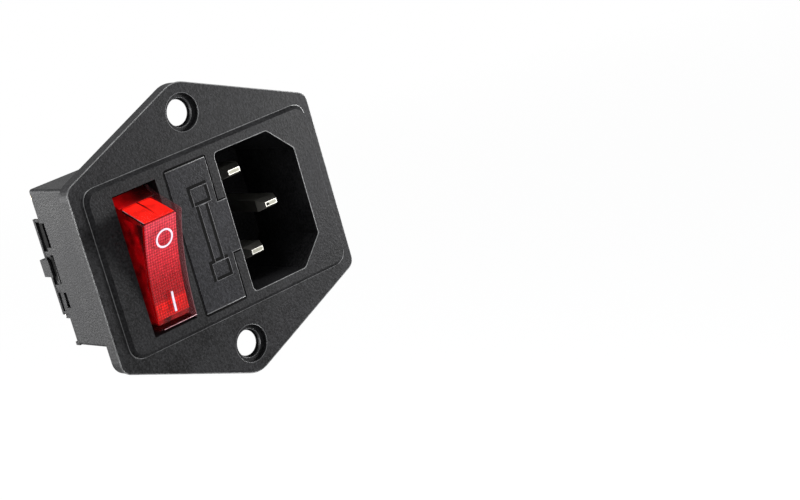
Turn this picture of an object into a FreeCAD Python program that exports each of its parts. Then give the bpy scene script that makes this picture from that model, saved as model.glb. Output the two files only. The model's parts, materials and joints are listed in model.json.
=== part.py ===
"""C14 panel inlet socket: a power inlet, a fuse drawer and a lit rocker switch in one flange.

Millimetres.  X runs to the right across the panel, with the switch at -X and the inlet
at +X, Z runs up, and the front faces -Y.  The origin is the middle of the two fixing
screws on the face of the flange that seats on the panel, so y is the depth behind it.
"""
import FreeCAD, Part
import math
import os
import re
import Sketcher

V = FreeCAD.Vector

doc = FreeCAD.newDocument("c14_panel_inlet_socket")
sheet = doc.addObject("Spreadsheet::Sheet", "Sizes")

SIZES = [
    # flange, bezel and moulded body
    ("flange_half_width", 24.55, "middle to each side edge of the flange"),
    ("flange_side_half", 15.2, "half the height of the straight side edges"),
    ("flange_half_height", 25.24, "middle to each peak before it is rounded"),
    ("flange_thick", 2.6, "flange thickness"),
    ("flange_peak_radius", 5.0, "rounding of the two peaks"),
    ("flange_corner_radius", 2.5, "rounding of the four side corners"),
    ("flange_core_depth", 0.85, "hollow in the back of each screw end"),
    ("flange_rim", 1.3, "wall left round that hollow"),
    ("flange_core_radius", 1.2, "corner radius of that hollow"),
    ("screw_spacing", 40.0, "between the two screw holes"),
    ("screw_hole_dia", 4.8, "clearance hole of a fixing screw"),
    ("screw_head_dia", 6.3, "counterbore for the screw head"),
    ("screw_head_depth", 0.8, "depth of the counterbore"),
    ("bezel_left_margin", 2.3, "flange left beside the bezel, switch side"),
    ("bezel_right_margin", 1.3, "flange left beside the bezel, inlet side"),
    ("bezel_half_height", 14.2, "half the bezel's height"),
    ("bezel_radius", 2.5, "corner radius of the bezel"),
    ("bezel_proud", 0.75, "bezel's height above the flange"),
    ("bezel_bevel", 0.6, "bevel round the bezel's front edge"),
    ("collar_step", 0.5, "how far the collar stands out from the body"),
    ("collar_depth", 1.4, "collar's depth behind the flange"),
    ("groove_width", 0.5, "grooves across the flange's back beside the switch"),
    ("groove_depth", 0.35, "depth of those grooves"),
    ("groove_upper_z", 0.6, "height of the upper groove"),
    ("groove_lower_z", -1.95, "height of the lower groove"),
    ("body_left", 18.9, "origin to the body's switch-side wall"),
    ("body_right", 19.9, "origin to the body's inlet-side wall"),
    ("body_half_height", 13.7, "half the body's height"),
    ("body_corner_cut", 5.6, "cut across the two inlet-side corners"),
    ("body_deep", 18.8, "panel plane to the rear rim"),
    ("edge_radius", 0.5, "small rounding of the body's switch-side corners"),
    # rocker switch bay
    ("switch_x", -13.25, "middle of the switch"),
    ("bay_width", 8.5, "width of the switch bay"),
    ("bay_half_height", 12.5, "half height of the bay behind the window"),
    ("window_half_height", 11.8, "half height of the rocker window"),
    ("window_depth", 2.2, "depth of the window lip behind the panel plane"),
    ("bay_back", 16.0, "panel plane to the back wall of the bay"),
    ("pivot_y", 0.47, "depth of the rocker's axis"),
    ("rocker_tilt", 15.0, "tilt of the rocker each way from the middle"),
    ("rocker_gap", 0.275, "gap each side of the rocker"),
    ("front_reach", 7.45, "axis to the rocker's two front edges"),
    ("front_half", 9.54, "half height of the rocker at those edges"),
    ("front_middle", 6.4, "axis to the middle of the hollow front face"),
    ("end_reach", 0.66, "axis to where the end faces turn in"),
    ("end_half", 10.56, "half height of the rocker there"),
    ("skirt_reach", 1.5, "how far the skirt runs behind the axis"),
    ("skirt_half", 11.35, "half height at the back of the skirt"),
    ("rocker_wall", 1.2, "wall of the hollow rocker"),
    ("rocker_edge_radius", 0.35, "rounding of the rocker's outer edges"),
    ("stub_dia", 2.4, "rocker's stub axles"),
    ("stub_length", 0.85, "length of each stub axle"),
    ("stub_gap", 0.06, "running clearance round a stub axle"),
    ("boss_dia", 4.4, "plunger boss inside the rocker"),
    ("boss_reach", 5.0, "axis to the mouth of the boss"),
    ("boss_bottom", 1.5, "axis to the bottom of its bore, towards the front"),
    ("plunger_dia", 2.7, "plunger"),
    ("plunger_gap", 0.08, "running clearance round the plunger"),
    ("plunger_reach", 9.0, "axis to the plunger's tip"),
    ("plunger_back", 2.5, "axis to the end of the plunger inside the bore"),
    ("spring_mean_dia", 1.9, "mean diameter of the plunger spring"),
    ("spring_wire", 0.34, "wire of the plunger spring"),
    ("spring_pitch", 0.85, "pitch of the plunger spring"),
    ("spring_seat", 0.06, "clearance at each end of the spring"),
    ("diffuser_thick", 0.7, "diffuser behind the rocker's face"),
    ("diffuser_gap", 0.05, "clearance round the diffuser"),
    ("blade_clear", 0.13, "plunger tip to blade at the middle of the travel"),
    ("blade_thick", 0.5, "see-saw blade"),
    ("blade_width", 5.0, "width of the blade"),
    ("blade_half_length", 6.5, "pivot to each end of the blade"),
    ("blade_slope", 0.2, "rise of each wing over its length"),
    ("blade_tilt", 6.0, "tilt of the blade each way"),
    ("contact_dia", 2.4, "switch contacts"),
    ("contact_dome", 2.4, "radius of the moving contact's dome"),
    ("contact_height", 0.6, "height of each switch contact"),
    ("contact_reach", 5.4, "pivot to the moving contact along the blade"),
    ("contact_gap", 0.1, "gap between the closed contacts"),
    ("terminal_thick", 0.8, "sheet of the switch terminals and lugs"),
    ("output_z", 11.0, "height of the output terminal"),
    ("output_half_width", 3.65, "half width of the output terminal"),
    ("input_half_width", 3.45, "half width of the input terminal"),
    ("input_tab_half", 2.9, "half width of its staked tab"),
    ("input_end", 0.8, "how far the input terminal stands behind the rim"),
    ("ear_width", 0.75, "ears that guide the blade"),
    ("ear_reach", 1.5, "how far the ears pass the blade's pivot"),
    ("seesaw_gap", 0.03, "blade crease to the edge that it rocks on"),
    ("neutral_z", -10.75, "height of the switch's neutral terminal"),
    ("neutral_half_width", 3.4, "half width of the switch's neutral terminal"),
    ("neutral_front", 11.0, "depth of the front end of that terminal"),
    ("neutral_end", 0.3, "how far that terminal stands behind the rim"),
    ("foot_from", 3.9, "height where the output terminal's foot starts"),
    ("lug_width", 4.0, "rear lugs"),
    ("lug_tip", 26.6, "panel plane to the tips of the lugs"),
    ("lug_bevel", 1.0, "bevel of each lug's tip"),
    ("lug_hole_dia", 2.0, "holes in the lugs"),
    ("lug_hole_from_tip", 2.8, "tip to the middle of the hole"),
    ("slot_length", 3.2, "length of the slot in the output lug"),
    ("rib_height", 6.2, "height of the rest for the blade's free end, below the axis"),
    ("rib_thick", 1.0, "thickness of that rest"),
    ("rib_top", 9.9, "depth of the rest's front edge"),
    # lamp
    ("lamp_dia", 3.8, "neon lamp"),
    ("lamp_length", 5.6, "length of the lamp's glass"),
    ("lamp_y", 8.0, "depth of the lamp"),
    ("lamp_z", -10.2, "height of the lamp"),
    ("lamp_left", 3.5, "switch middle to the lamp's closed end"),
    ("resistor_dia", 2.0, "lamp resistor"),
    ("resistor_length", 5.8, "length of the resistor"),
    ("resistor_y", 13.6, "depth of the resistor"),
    ("resistor_z", -2.9, "height of the resistor"),
    ("lead_dia", 0.36, "wire leads"),
    ("lead_side", 3.85, "switch middle to the leads beside the input terminal"),
    ("lead_split", 0.5, "lamp middle to each of its leads"),
    # fuse drawer
    ("drawer_x", -2.925, "middle of the fuse drawer"),
    ("drawer_width", 8.05, "width of the drawer's face"),
    ("drawer_half_height", 12.1, "half height of the drawer's face"),
    ("drawer_gap", 0.25, "gap round the drawer"),
    ("drawer_sink", 0.05, "drawer's face behind the bezel's face"),
    ("drawer_face_thick", 1.8, "thickness of the drawer's face"),
    ("drawer_wall", 0.8, "side walls of the drawer"),
    ("drawer_inset", 0.05, "side walls behind the face's edges"),
    ("drawer_wall_back", 7.4, "depth of the side walls' back edges"),
    ("drawer_end_inside", 10.3, "half length of the fuse space"),
    ("drawer_rail_back", 10.2, "depth of the end walls' back edges"),
    ("drawer_bay_back", 11.0, "depth of the drawer bay"),
    ("tab_right", 2.95, "edge of the finger tab, flush with the recess"),
    ("tab_half", 4.4, "half height of the finger tab"),
    ("tab_bevel", 0.5, "bevel under the finger tab"),
    ("strap_half", 3.6, "half height of the strap behind the fuse"),
    ("strap_thick", 0.8, "thickness of the strap"),
    ("strap_gap", 0.3, "fuse glass to the strap"),
    ("cradle_z", 2.2, "height of each cradle rib"),
    ("cradle_thick", 1.0, "thickness of a cradle rib"),
    ("fuse_y", 4.5, "depth of the fuse's axis"),
    ("fuse_half", 10.0, "half length of the fuse"),
    ("cap_dia", 5.2, "fuse caps"),
    ("cap_length", 5.0, "length of each cap"),
    ("cap_wall", 0.4, "wall of a cap"),
    ("glass_wall", 0.45, "wall of the fuse's glass"),
    ("glass_gap", 0.02, "glass to cap"),
    ("fuse_wire_dia", 0.24, "fuse element"),
    ("fuse_contact_gap", 0.1, "fuse cap to its spring contact"),
    ("fuse_contact_thick", 0.5, "spring contacts"),
    ("fuse_contact_width", 4.6, "width of the spring arms"),
    ("fuse_contact_z", 5.0, "height of the contacts' tails"),
    ("fuse_contact_crest", 2.4, "tail to the crest of the arm"),
    ("fuse_contact_tip", 4.4, "tail to the tip of the arm"),
    ("fuse_contact_bow", 0.5, "how far the arm bows forward"),
    ("tail_x", -3.5, "middle of the contacts' tails"),
    ("tail_width", 5.15, "width of the tails"),
    ("tail_from", 9.5, "depth where the tails widen"),
    ("tail_end", 1.0, "how far the tails stand behind the rim"),
    ("slot_gap", 0.05, "clearance round sheet metal in the moulding"),
    # inlet
    ("recess_left", 2.95, "edge of the inlet recess beside the drawer"),
    ("recess_right", 18.75, "outer edge of the inlet recess"),
    ("recess_half_height", 12.1, "half height of the recess"),
    ("recess_corner_cut", 4.5, "cut across its two outer corners"),
    ("recess_radius", 1.0, "radius of its two inner corners"),
    ("recess_floor", 13.4, "depth of its floor"),
    ("pin_x", 8.95, "line and neutral pins"),
    ("earth_x", 12.95, "earth pin"),
    ("pin_pitch", 14.0, "between the line and neutral pins"),
    ("pin_width", 4.0, "pin width across the socket"),
    ("pin_thick", 2.0, "pin thickness"),
    ("pin_tip", 1.1, "depth of the line and neutral tips"),
    ("earth_lead", 1.95, "how far the earth pin leads them"),
    ("pin_taper", 1.6, "length of the tapered tip"),
    ("pin_point_width", 2.4, "width of the tip's end"),
    ("pin_point_thick", 0.8, "thickness of the tip's end"),
    ("tenon_dia", 2.0, "rivet tenon of a pin"),
    ("rivet_dia", 2.6, "rivet head"),
    ("rivet_thick", 0.45, "rivet head's thickness"),
    ("rivet_gap", 0.02, "clearance of a riveted joint"),
    # busbars and rear face
    ("busbar_thick", 0.8, "busbars"),
    ("rear_pocket", 1.0, "depth of the pockets that hold the busbars"),
    ("pocket_gap", 0.25, "gap round a busbar in its pocket"),
    ("moat_depth", 1.4, "depth of the empty channels in the rear face"),
    ("post_dia", 2.5, "staking posts"),
    ("post_base_dia", 3.6, "base of the post that stands in a channel"),
    ("post_tall", 4.6, "posts above the rear rim"),
    ("post_bevel", 0.4, "bevel of a post's tip"),
    ("post_hole_gap", 0.1, "clearance round a post in the cover"),
    ("upper_post_x", -10.6, "switch-side post"),
    ("upper_post_z", 4.9, "switch-side post"),
    ("lower_post_x", 15.3, "inlet-side post"),
    ("lower_post_z", -7.4, "inlet-side post"),
    ("latch_x", 2.0, "middle of the latch"),
    ("latch_width", 1.9, "width of the latch"),
    ("latch_low", -1.1, "lower face of the latch's arm"),
    ("latch_high", 0.8, "upper face of the latch's arm"),
    ("latch_nose", 0.6, "how far the latch's nose overhangs the cover"),
    ("latch_nose_tall", 1.8, "height of the nose"),
    ("latch_gap", 0.15, "clearance of the latch"),
    ("latch_pocket_low", -4.9, "lower end of the latch's relief"),
    ("latch_pocket_depth", 4.0, "depth of the latch's relief"),
    ("window_low", -2.5, "lower edge of the cover's latch window"),
    ("window_high", 1.0, "upper edge of the cover's latch window"),
    ("cover_thick", 1.5, "rear cover"),
    ("square_boss_tall", 1.9, "height of the square bosses"),
    ("long_boss_tall", 2.4, "height of the long bosses"),
    ("square_boss_half", 2.6, "half the side of a square boss"),
    ("long_boss_half", 1.5, "half the height of a long boss"),
    ("long_boss_half_width", 3.75, "half the width of the two inner long bosses"),
    ("outer_boss_half_width", 4.85, "half the width of the boss over the input terminal"),
    ("outer_boss_x", -14.15, "middle of that boss"),
    ("outer_boss_z", -0.1, "height of the middle of that boss"),
    ("cover_drop", 2.8, "output terminal down to the cover's edge beside it"),
    ("lip_tall", 0.65, "lip at the housing's lower rear corner"),
    ("lip_long", 1.2, "length of that lip"),
    ("lip_thick", 0.6, "thickness of that lip"),
    ("boss_wall", 0.9, "walls of the bosses"),
]
NAMES = {row[0] for row in SIZES}
for line, (alias, size, note) in enumerate(SIZES, start=1):
    sheet.set("A%d" % line, note)
    sheet.set("B%d" % line, str(size))
    sheet.setAlias("B%d" % line, alias)
doc.recompute()


def ex(text):
    """The expression with each size's name bound to its cell in the sheet."""
    return re.sub(r"[a-z]+(?:_[a-z]+)+", lambda m: "Sizes." + m.group(0)
                  if m.group(0) in NAMES else m.group(0), str(text))


def val(text):
    """The number that an expression comes to."""
    return float(sheet.evalExpression(ex(text)))


# ---------------------------------------------------------------- building blocks
PLANES = {"XY": ("XY_Plane", ""), "XZ": ("XZ_Plane", "-"), "YZ": ("YZ_Plane", "")}
cuts = []
nodes = []


def body(name):
    made = doc.addObject("PartDesign::Body", name)
    made.Label = name
    nodes.append(made)
    return made


def loop(points):
    """A closed outline through (across, up) pairs."""
    return ("loop", points)


def disc(across, up, radius):
    return ("disc", across, up, radius)


def box_loop(left, right, low, high):
    return loop([(left, low), (right, low), (right, high), (left, high)])


def mid_box(across, up, half_width, half_height):
    return box_loop("(%s)-(%s)" % (across, half_width), "(%s)+(%s)" % (across, half_width),
                    "(%s)-(%s)" % (up, half_height), "(%s)+(%s)" % (up, half_height))


def grown(points, gap):
    """The outline's points moved outwards by a gap, with square corners kept."""
    flat = [(val(a), val(b)) for a, b in points]
    count = len(flat)
    area = sum(flat[i][0] * flat[(i + 1) % count][1] - flat[(i + 1) % count][0] * flat[i][1]
               for i in range(count))
    turn = 1.0 if area > 0 else -1.0

    def normal(a, b):
        dx, dz = b[0] - a[0], b[1] - a[1]
        size = math.hypot(dx, dz)
        return turn * dz / size, -turn * dx / size

    out = []
    for i, (a, b) in enumerate(points):
        n1 = normal(flat[i - 1], flat[i])
        n2 = normal(flat[i], flat[(i + 1) % count])
        share = 1.0 + n1[0] * n2[0] + n1[1] * n2[1]
        out.append(("%s+(%.5f)*%s" % (a, (n1[0] + n2[0]) / share, gap),
                    "%s+(%.5f)*%s" % (b, (n1[1] + n2[1]) / share, gap)))
    return out


def pin_to(sketch, geometry, point, across, up):
    for kind, text in (("DistanceX", across), ("DistanceY", up)):
        row = sketch.addConstraint(
            Sketcher.Constraint(kind, -1, 1, geometry, point, val(text)))
        sketch.setExpression("Constraints[%d]" % row, ex(text))


def sketch_on(owner, name, plane, at, shapes):
    """A sketch of loops and discs on one of the body's own origin planes."""
    role, sign = PLANES[plane]
    made = owner.newObject("Sketcher::SketchObject", name)
    support = [o for o in owner.Origin.OriginFeatures if o.Role == role][0]
    made.AttachmentSupport = [(support, "")]
    made.MapMode = "FlatFace"
    made.setExpression("AttachmentOffset.Base.z", ex("%s(%s)" % (sign, at)))
    for shape in shapes:
        first = made.GeometryCount
        if shape[0] == "disc":
            across, up, radius = shape[1:]
            made.addGeometry(Part.Circle(V(val(across), val(up), 0), V(0, 0, 1),
                                         val(radius)), False)
            row = made.addConstraint(Sketcher.Constraint("Radius", first, val(radius)))
            made.setExpression("Constraints[%d]" % row, ex(radius))
            pin_to(made, first, 3, across, up)
            continue
        points = shape[1]
        flat = [V(val(a), val(b), 0) for a, b in points]
        count = len(points)
        for i in range(count):
            made.addGeometry(Part.LineSegment(flat[i], flat[(i + 1) % count]), False)
        for i in range(count):
            made.addConstraint(Sketcher.Constraint(
                "Coincident", first + i, 2, first + (i + 1) % count, 1))
        for i, (across, up) in enumerate(points):
            pin_to(made, first + i, 1, across, up)
    return made


def pad(owner, name, plane, low, high, *shapes):
    """Material from low to high along the plane's own row axis."""
    at = high if plane == "XZ" else low
    made_sketch = sketch_on(owner, name + "_sketch", plane, at, shapes)
    made = owner.newObject("PartDesign::Pad", name)
    made.Profile = made_sketch
    made.setExpression("Length", ex("(%s)-(%s)" % (high, low)))
    made_sketch.Visibility = False
    return made


def pocket(owner, name, plane, low, high, *shapes):
    """A cut from low to high along the plane's own row axis."""
    at = low if plane == "XZ" else high
    made_sketch = sketch_on(owner, name + "_sketch", plane, at, shapes)
    made = owner.newObject("PartDesign::Pocket", name)
    made.Profile = made_sketch
    made.setExpression("Length", ex("(%s)-(%s)" % (high, low)))
    made_sketch.Visibility = False
    cuts.append(made)
    return made


def loft(owner, name, plane, ends):
    """Material lofted between two (depth, shape) sections."""
    made_sketches = [sketch_on(owner, "%s_section_%d" % (name, i), plane, at, [shape])
                     for i, (at, shape) in enumerate(ends, start=1)]
    made = owner.newObject("PartDesign::AdditiveLoft", name)
    made.Profile = made_sketches[0]
    made.Sections = made_sketches[1:]
    return made


def picked(shape, spots=None, depth=None, tolerance=0.02):
    """Names of the edges along Y at (x, z) spots, or of all edges that lie at one depth."""
    found = []
    for number, edge in enumerate(shape.Edges, start=1):
        ends = [v.Point for v in edge.Vertexes]
        if depth is not None:
            box = edge.BoundBox
            if abs(box.YMin - depth) < tolerance and abs(box.YMax - depth) < tolerance:
                found.append("Edge%d" % number)
        elif len(ends) == 2 and all(
                any(math.hypot(p.x - x, p.z - z) < tolerance for x, z in spots) for p in ends):
            if abs(ends[0].y - ends[1].y) > tolerance:
                found.append("Edge%d" % number)
    return found


def round_off(owner, name, size, spots=None, depth=None, kind="Fillet", names=None):
    """A fillet or chamfer on the edges that picked() finds."""
    doc.recompute()
    base = owner.Tip
    names = names(base.Shape) if names else picked(base.Shape, spots, depth)
    if not names:
        raise RuntimeError("no edges for " + name)
    made = owner.newObject("PartDesign::" + kind, name)
    made.Base = (base, names)
    made.setExpression("Radius" if kind == "Fillet" else "Size", ex(size))
    return made


def spots_of(pairs):
    return [(val(a), val(b)) for a, b in pairs]


def place(thing, x="0", y="0", z="0", axis=None, angle="0"):
    """A Placement bound to the sheet, turned about one axis."""
    turn = FreeCAD.Rotation(axis or V(1, 0, 0), val(angle))
    thing.Placement = FreeCAD.Placement(V(val(x), val(y), val(z)), turn)
    for key, text in (("x", x), ("y", y), ("z", z)):
        thing.setExpression("Placement.Base." + key, ex(text))
    if axis is not None:
        thing.setExpression("Placement.Rotation.Angle", ex(angle))
    return thing


def cylinder(name, radius, length, x, y, z, axis, angle):
    made = doc.addObject("Part::Cylinder", name)
    made.setExpression("Radius", ex(radius))
    made.setExpression("Height", ex(length))
    return place(made, x, y, z, axis, angle)


def ball(name, radius, x, y, z):
    made = doc.addObject("Part::Sphere", name)
    made.setExpression("Radius", ex(radius))
    return place(made, x, y, z)


def combine(kind, name, pieces):
    """Part::MultiFuse, Part::MultiCommon or Part::Cut of objects, as a named node."""
    made = doc.addObject("Part::" + kind, name)
    if kind == "Cut":
        made.Base, made.Tool = pieces
    else:
        made.Shapes = pieces
    made.Label = name
    nodes.append(made)
    return made


X_AXIS, Y_AXIS, Z_AXIS = V(1, 0, 0), V(0, 1, 0), V(0, 0, 1)

# ---------------------------------------------------------------- shared positions
FRONT = "-flange_thick"
BEZEL = "-flange_thick-bezel_proud"
BEZEL_LEFT = "(bezel_left_margin-flange_half_width)"
BEZEL_RIGHT = "(flange_half_width-bezel_right_margin)"
FLOOR = "(body_deep-rear_pocket)"
BAR_TOP = "(body_deep-rear_pocket+busbar_thick)"
COVER_OUT = "(body_deep+cover_thick)"
BAY_LEFT, BAY_RIGHT = "(switch_x-bay_width/2)", "(switch_x+bay_width/2)"
DRAWER_LEFT, DRAWER_RIGHT = "(drawer_x-drawer_width/2)", "(drawer_x+drawer_width/2)"
DRAWER_FRONT = "(-flange_thick-bezel_proud+drawer_sink)"
DRAWER_BACK = "(-flange_thick-bezel_proud+drawer_sink+drawer_face_thick)"
BLADE_Y = "(pivot_y+plunger_reach+blade_clear+blade_thick)"
ROCKER_HALF = "(bay_width/2-rocker_gap)"
ROCKER_LEFT = "(switch_x-bay_width/2+rocker_gap)"
ROCKER_RIGHT = "(switch_x+bay_width/2-rocker_gap)"
LUG_HOLE_Y = "(lug_tip-lug_hole_from_tip)"

body_outline = [
    ("-body_left", "-body_half_height"), ("body_right-body_corner_cut", "-body_half_height"),
    ("body_right", "-body_half_height+body_corner_cut"),
    ("body_right", "body_half_height-body_corner_cut"),
    ("body_right-body_corner_cut", "body_half_height"), ("-body_left", "body_half_height")]
recess_outline = [
    ("recess_left", "-recess_half_height"),
    ("recess_right-recess_corner_cut", "-recess_half_height"),
    ("recess_right", "-recess_half_height+recess_corner_cut"),
    ("recess_right", "recess_half_height-recess_corner_cut"),
    ("recess_right-recess_corner_cut", "recess_half_height"),
    ("recess_left", "recess_half_height")]

# busbar outlines on the rear face, named for what they join
line_bar = [("pin_x+2.15", "pin_pitch/2+2.4"), ("pin_x-3.65", "pin_pitch/2+2.4"),
            ("pin_x-5.95", "fuse_contact_z+2.25"), ("tail_x-2.85", "fuse_contact_z+2.25"),
            ("tail_x-2.85", "fuse_contact_z-2.4"), ("tail_x+3.9", "fuse_contact_z-2.4"),
            ("tail_x+4.2", "pin_pitch/2-2.3"), ("pin_x+2.15", "pin_pitch/2-2.3")]
link_bar = [("tail_x+3.5", "-fuse_contact_z+2.1"), ("tail_x-2.2", "-fuse_contact_z+2.1"),
            ("tail_x-2.2", "-terminal_thick"), ("switch_x+4.05", "-terminal_thick"),
            ("switch_x+4.05", "2.1"), ("switch_x-5.2", "2.1"), ("switch_x-5.2", "-2.5"),
            ("switch_x+1.15", "-2.5"), ("switch_x+1.15", "-3.65"),
            ("tail_x-3.1", "-3.65"), ("tail_x-3.1", "-fuse_contact_z-2.7"),
            ("tail_x+3.5", "-fuse_contact_z-2.7")]
neutral_bar = [("pin_x+2.35", "-pin_pitch/2+1.15"), ("pin_x-3.5", "-pin_pitch/2+1.15"),
               ("pin_x-3.5", "neutral_z-0.85"), ("switch_x+4.45", "neutral_z-0.85"),
               ("switch_x+4.45", "neutral_z+1.45"), ("switch_x-5.15", "neutral_z+1.45"),
               ("switch_x-5.15", "neutral_z-2.15"), ("pin_x-1.2", "neutral_z-2.15"),
               ("pin_x-1.2", "-pin_pitch/2-2.6"), ("pin_x+2.35", "-pin_pitch/2-2.6")]
LUG_Z = "(neutral_z+1.45-terminal_thick)"

# ---------------------------------------------------------------- housing
housing = body("housing")
pad(housing, "flange", "XZ", FRONT, "0", loop([
    ("flange_half_width", "flange_side_half"), ("0", "flange_half_height"),
    ("-flange_half_width", "flange_side_half"), ("-flange_half_width", "-flange_side_half"),
    ("0", "-flange_half_height"), ("flange_half_width", "-flange_side_half")]))
round_off(housing, "flange_peaks", "flange_peak_radius",
          spots_of([("0", "flange_half_height"), ("0", "-flange_half_height")]))
round_off(housing, "flange_corners", "flange_corner_radius", spots_of(
    [(a + "flange_half_width", b + "flange_side_half") for a in ("", "-") for b in ("", "-")]))
pad(housing, "bezel", "XZ", BEZEL, FRONT + "/2",
    box_loop(BEZEL_LEFT, BEZEL_RIGHT, "-bezel_half_height", "bezel_half_height"))
round_off(housing, "bezel_corners", "bezel_radius", spots_of(
    [(a, b + "bezel_half_height") for a in (BEZEL_LEFT, BEZEL_RIGHT) for b in ("", "-")]))
round_off(housing, "bezel_edge", "bezel_bevel", depth=val(BEZEL), kind="Chamfer")
pad(housing, "collar", "XZ", FRONT + "/2", "collar_depth",
    loop(grown(body_outline, "collar_step")))
pad(housing, "shell", "XZ", FRONT + "/2", "body_deep", loop(body_outline))
round_off(housing, "shell_corners", "edge_radius", spots_of(
    [("-body_left", "body_half_height"), ("-body_left", "-body_half_height")]))
pocket(housing, "back_grooves", "XZ", "-groove_depth", "0", *[
    box_loop("-flange_half_width-1", "-(body_left+collar_step)", z + "-groove_width/2",
             z + "+groove_width/2") for z in ("groove_upper_z", "groove_lower_z")])
# screw ends: cored back, clearance holes and counterbores
rise = "(flange_half_height-flange_side_half)/flange_half_width"
core_low = "body_half_height+collar_step+flange_rim"
core_cut = "((flange_half_height-flange_rim*1.1-(%s))/(%s))" % (core_low, rise)
for side, sign in (("upper", ""), ("lower", "-")):
    pocket(housing, side + "_core", "XZ", "-flange_core_depth", "0", loop([
        ("-(%s)" % core_cut, "%s(%s)" % (sign, core_low)),
        (core_cut, "%s(%s)" % (sign, core_low)),
        ("flange_peak_radius*0.5",
         "%s(flange_half_height-flange_rim*1.1-flange_peak_radius*0.5*%s)" % (sign, rise)),
        ("-flange_peak_radius*0.5",
         "%s(flange_half_height-flange_rim*1.1-flange_peak_radius*0.5*%s)" % (sign, rise))]))
screw_discs = [("0", "screw_spacing/2"), ("0", "-screw_spacing/2")]
pocket(housing, "screw_holes", "XZ", FRONT, "0",
       *[disc(x, z, "screw_hole_dia/2") for x, z in screw_discs])
pocket(housing, "screw_heads", "XZ", FRONT, FRONT + "+screw_head_depth",
       *[disc(x, z, "screw_head_dia/2") for x, z in screw_discs])
# the three front openings
pocket(housing, "rocker_window", "XZ", BEZEL, "window_depth",
       box_loop(BAY_LEFT, BAY_RIGHT, "-window_half_height", "window_half_height"))
pocket(housing, "switch_bay", "XZ", "window_depth", "bay_back",
       box_loop(BAY_LEFT, BAY_RIGHT, "-bay_half_height", "bay_half_height"))
pocket(housing, "drawer_bay", "XZ", BEZEL, "drawer_bay_back",
       mid_box("drawer_x", "0", "drawer_width/2+drawer_gap", "drawer_half_height+drawer_gap"))
pocket(housing, "tab_notch", "XZ", BEZEL, DRAWER_BACK + "+drawer_gap",
       box_loop("drawer_x", "recess_left+0.1", "-tab_half-drawer_gap", "tab_half+drawer_gap"))
pocket(housing, "inlet_recess", "XZ", BEZEL, "recess_floor", loop(recess_outline))
round_off(housing, "recess_corners", "recess_radius", spots_of(
    [("recess_left", "recess_half_height"), ("recess_left", "-recess_half_height")]))
# bearings of the rocker's stub axles
pocket(housing, "stub_bearings", "YZ", BAY_LEFT + "-stub_length-rocker_gap",
       BAY_RIGHT + "+stub_length+rocker_gap", disc("pivot_y", "0", "stub_dia/2+stub_gap"))
pad(housing, "blade_rest", "XZ", "rib_top", "bay_back", box_loop(
    "switch_x-neutral_half_width", "switch_x+neutral_half_width",
    "-rib_height", "-rib_height+rib_thick"))
# slots for the metal that passes through the rear wall
for name, x, z, half, low in (
        ("output_slot", "switch_x", "output_z", "output_half_width", "bay_back"),
        ("input_slot", "switch_x", "0", "input_half_width", "bay_back"),
        ("neutral_slot", "switch_x", "neutral_z", "neutral_half_width", "bay_back")):
    pocket(housing, name, "XZ", low + "-0.1", "body_deep",
           mid_box(x, z, half + "+slot_gap", "terminal_thick/2+slot_gap"))
pocket(housing, "tail_slots", "XZ", "drawer_bay_back-0.1", "body_deep",
       *[mid_box("tail_x", s + "fuse_contact_z", "tail_width/2+slot_gap",
                 "fuse_contact_thick/2+slot_gap") for s in ("", "-")])
pocket(housing, "pin_slots", "XZ", "recess_floor-0.1", "body_deep",
       *[mid_box("pin_x", s + "pin_pitch/2", "pin_width/2+slot_gap", "pin_thick/2+slot_gap")
         for s in ("", "-")],
       mid_box("earth_x", "0", "pin_width/2+slot_gap", "pin_thick/2+slot_gap"))
# rear face: pockets that take the busbars, and the empty channels beside them
link_pocket = grown(link_bar, "pocket_gap")
link_pocket[5] = ("-body_left-1", link_pocket[5][1])
link_pocket[6] = ("-body_left-1", link_pocket[6][1])
neutral_pocket = grown(neutral_bar, "pocket_gap")
neutral_pocket[6:8] = [(neutral_pocket[5][0], "-body_half_height-1"),
                       ("switch_x+4.45+pocket_gap", "-body_half_height-1"),
                       ("switch_x+4.45+pocket_gap", "neutral_z-2.15-pocket_gap"),
                       neutral_pocket[7]]
pocket(housing, "line_pocket", "XZ", FLOOR, "body_deep", loop(grown(line_bar, "pocket_gap")))
pocket(housing, "link_pocket", "XZ", FLOOR, "body_deep", loop(link_pocket))
pocket(housing, "neutral_pocket", "XZ", FLOOR, "body_deep", loop(neutral_pocket))
pocket(housing, "channels", "XZ", "body_deep-moat_depth", "body_deep",
       box_loop("-body_left-1", "upper_post_x+2.6", "upper_post_z-1.3", "upper_post_z+3.0"),
       box_loop("-body_left-1", "upper_post_x+2.6", "-7.0", "-4.3"),
       box_loop("pin_x-2.6", "pin_x+0.9", "-pin_pitch/2+1.9", "pin_pitch/2-3.1"),
       box_loop("earth_x-2.3", "earth_x+2.9", "-pin_thick", "pin_thick"),
       box_loop("switch_x-5.0", "switch_x-4.2", "output_z-1.2", "output_z+1.2"),
       box_loop("tail_x-3.4", "tail_x+5.6", "output_z-1.4", "output_z+1.3"))
pocket(housing, "latch_relief", "XZ", "body_deep-latch_pocket_depth", "body_deep",
       box_loop("latch_x-latch_width/2-2*latch_gap", "latch_x+latch_width/2+2*latch_gap",
                "latch_pocket_low", "latch_high+2*latch_gap"))
pad(housing, "corner_lip", "XZ", "body_deep-0.5", "body_deep+lip_tall", box_loop(
    "-body_left", "-body_left+lip_long", "-body_half_height", "-body_half_height+lip_thick"))
pad(housing, "post_base", "XZ", "body_deep-moat_depth", "body_deep",
    disc("upper_post_x", "upper_post_z", "post_base_dia/2"))
pad(housing, "posts", "XZ", "body_deep-rear_pocket", "body_deep+post_tall",
    disc("upper_post_x", "upper_post_z", "post_dia/2"),
    disc("lower_post_x", "lower_post_z", "post_dia/2"))
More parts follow.
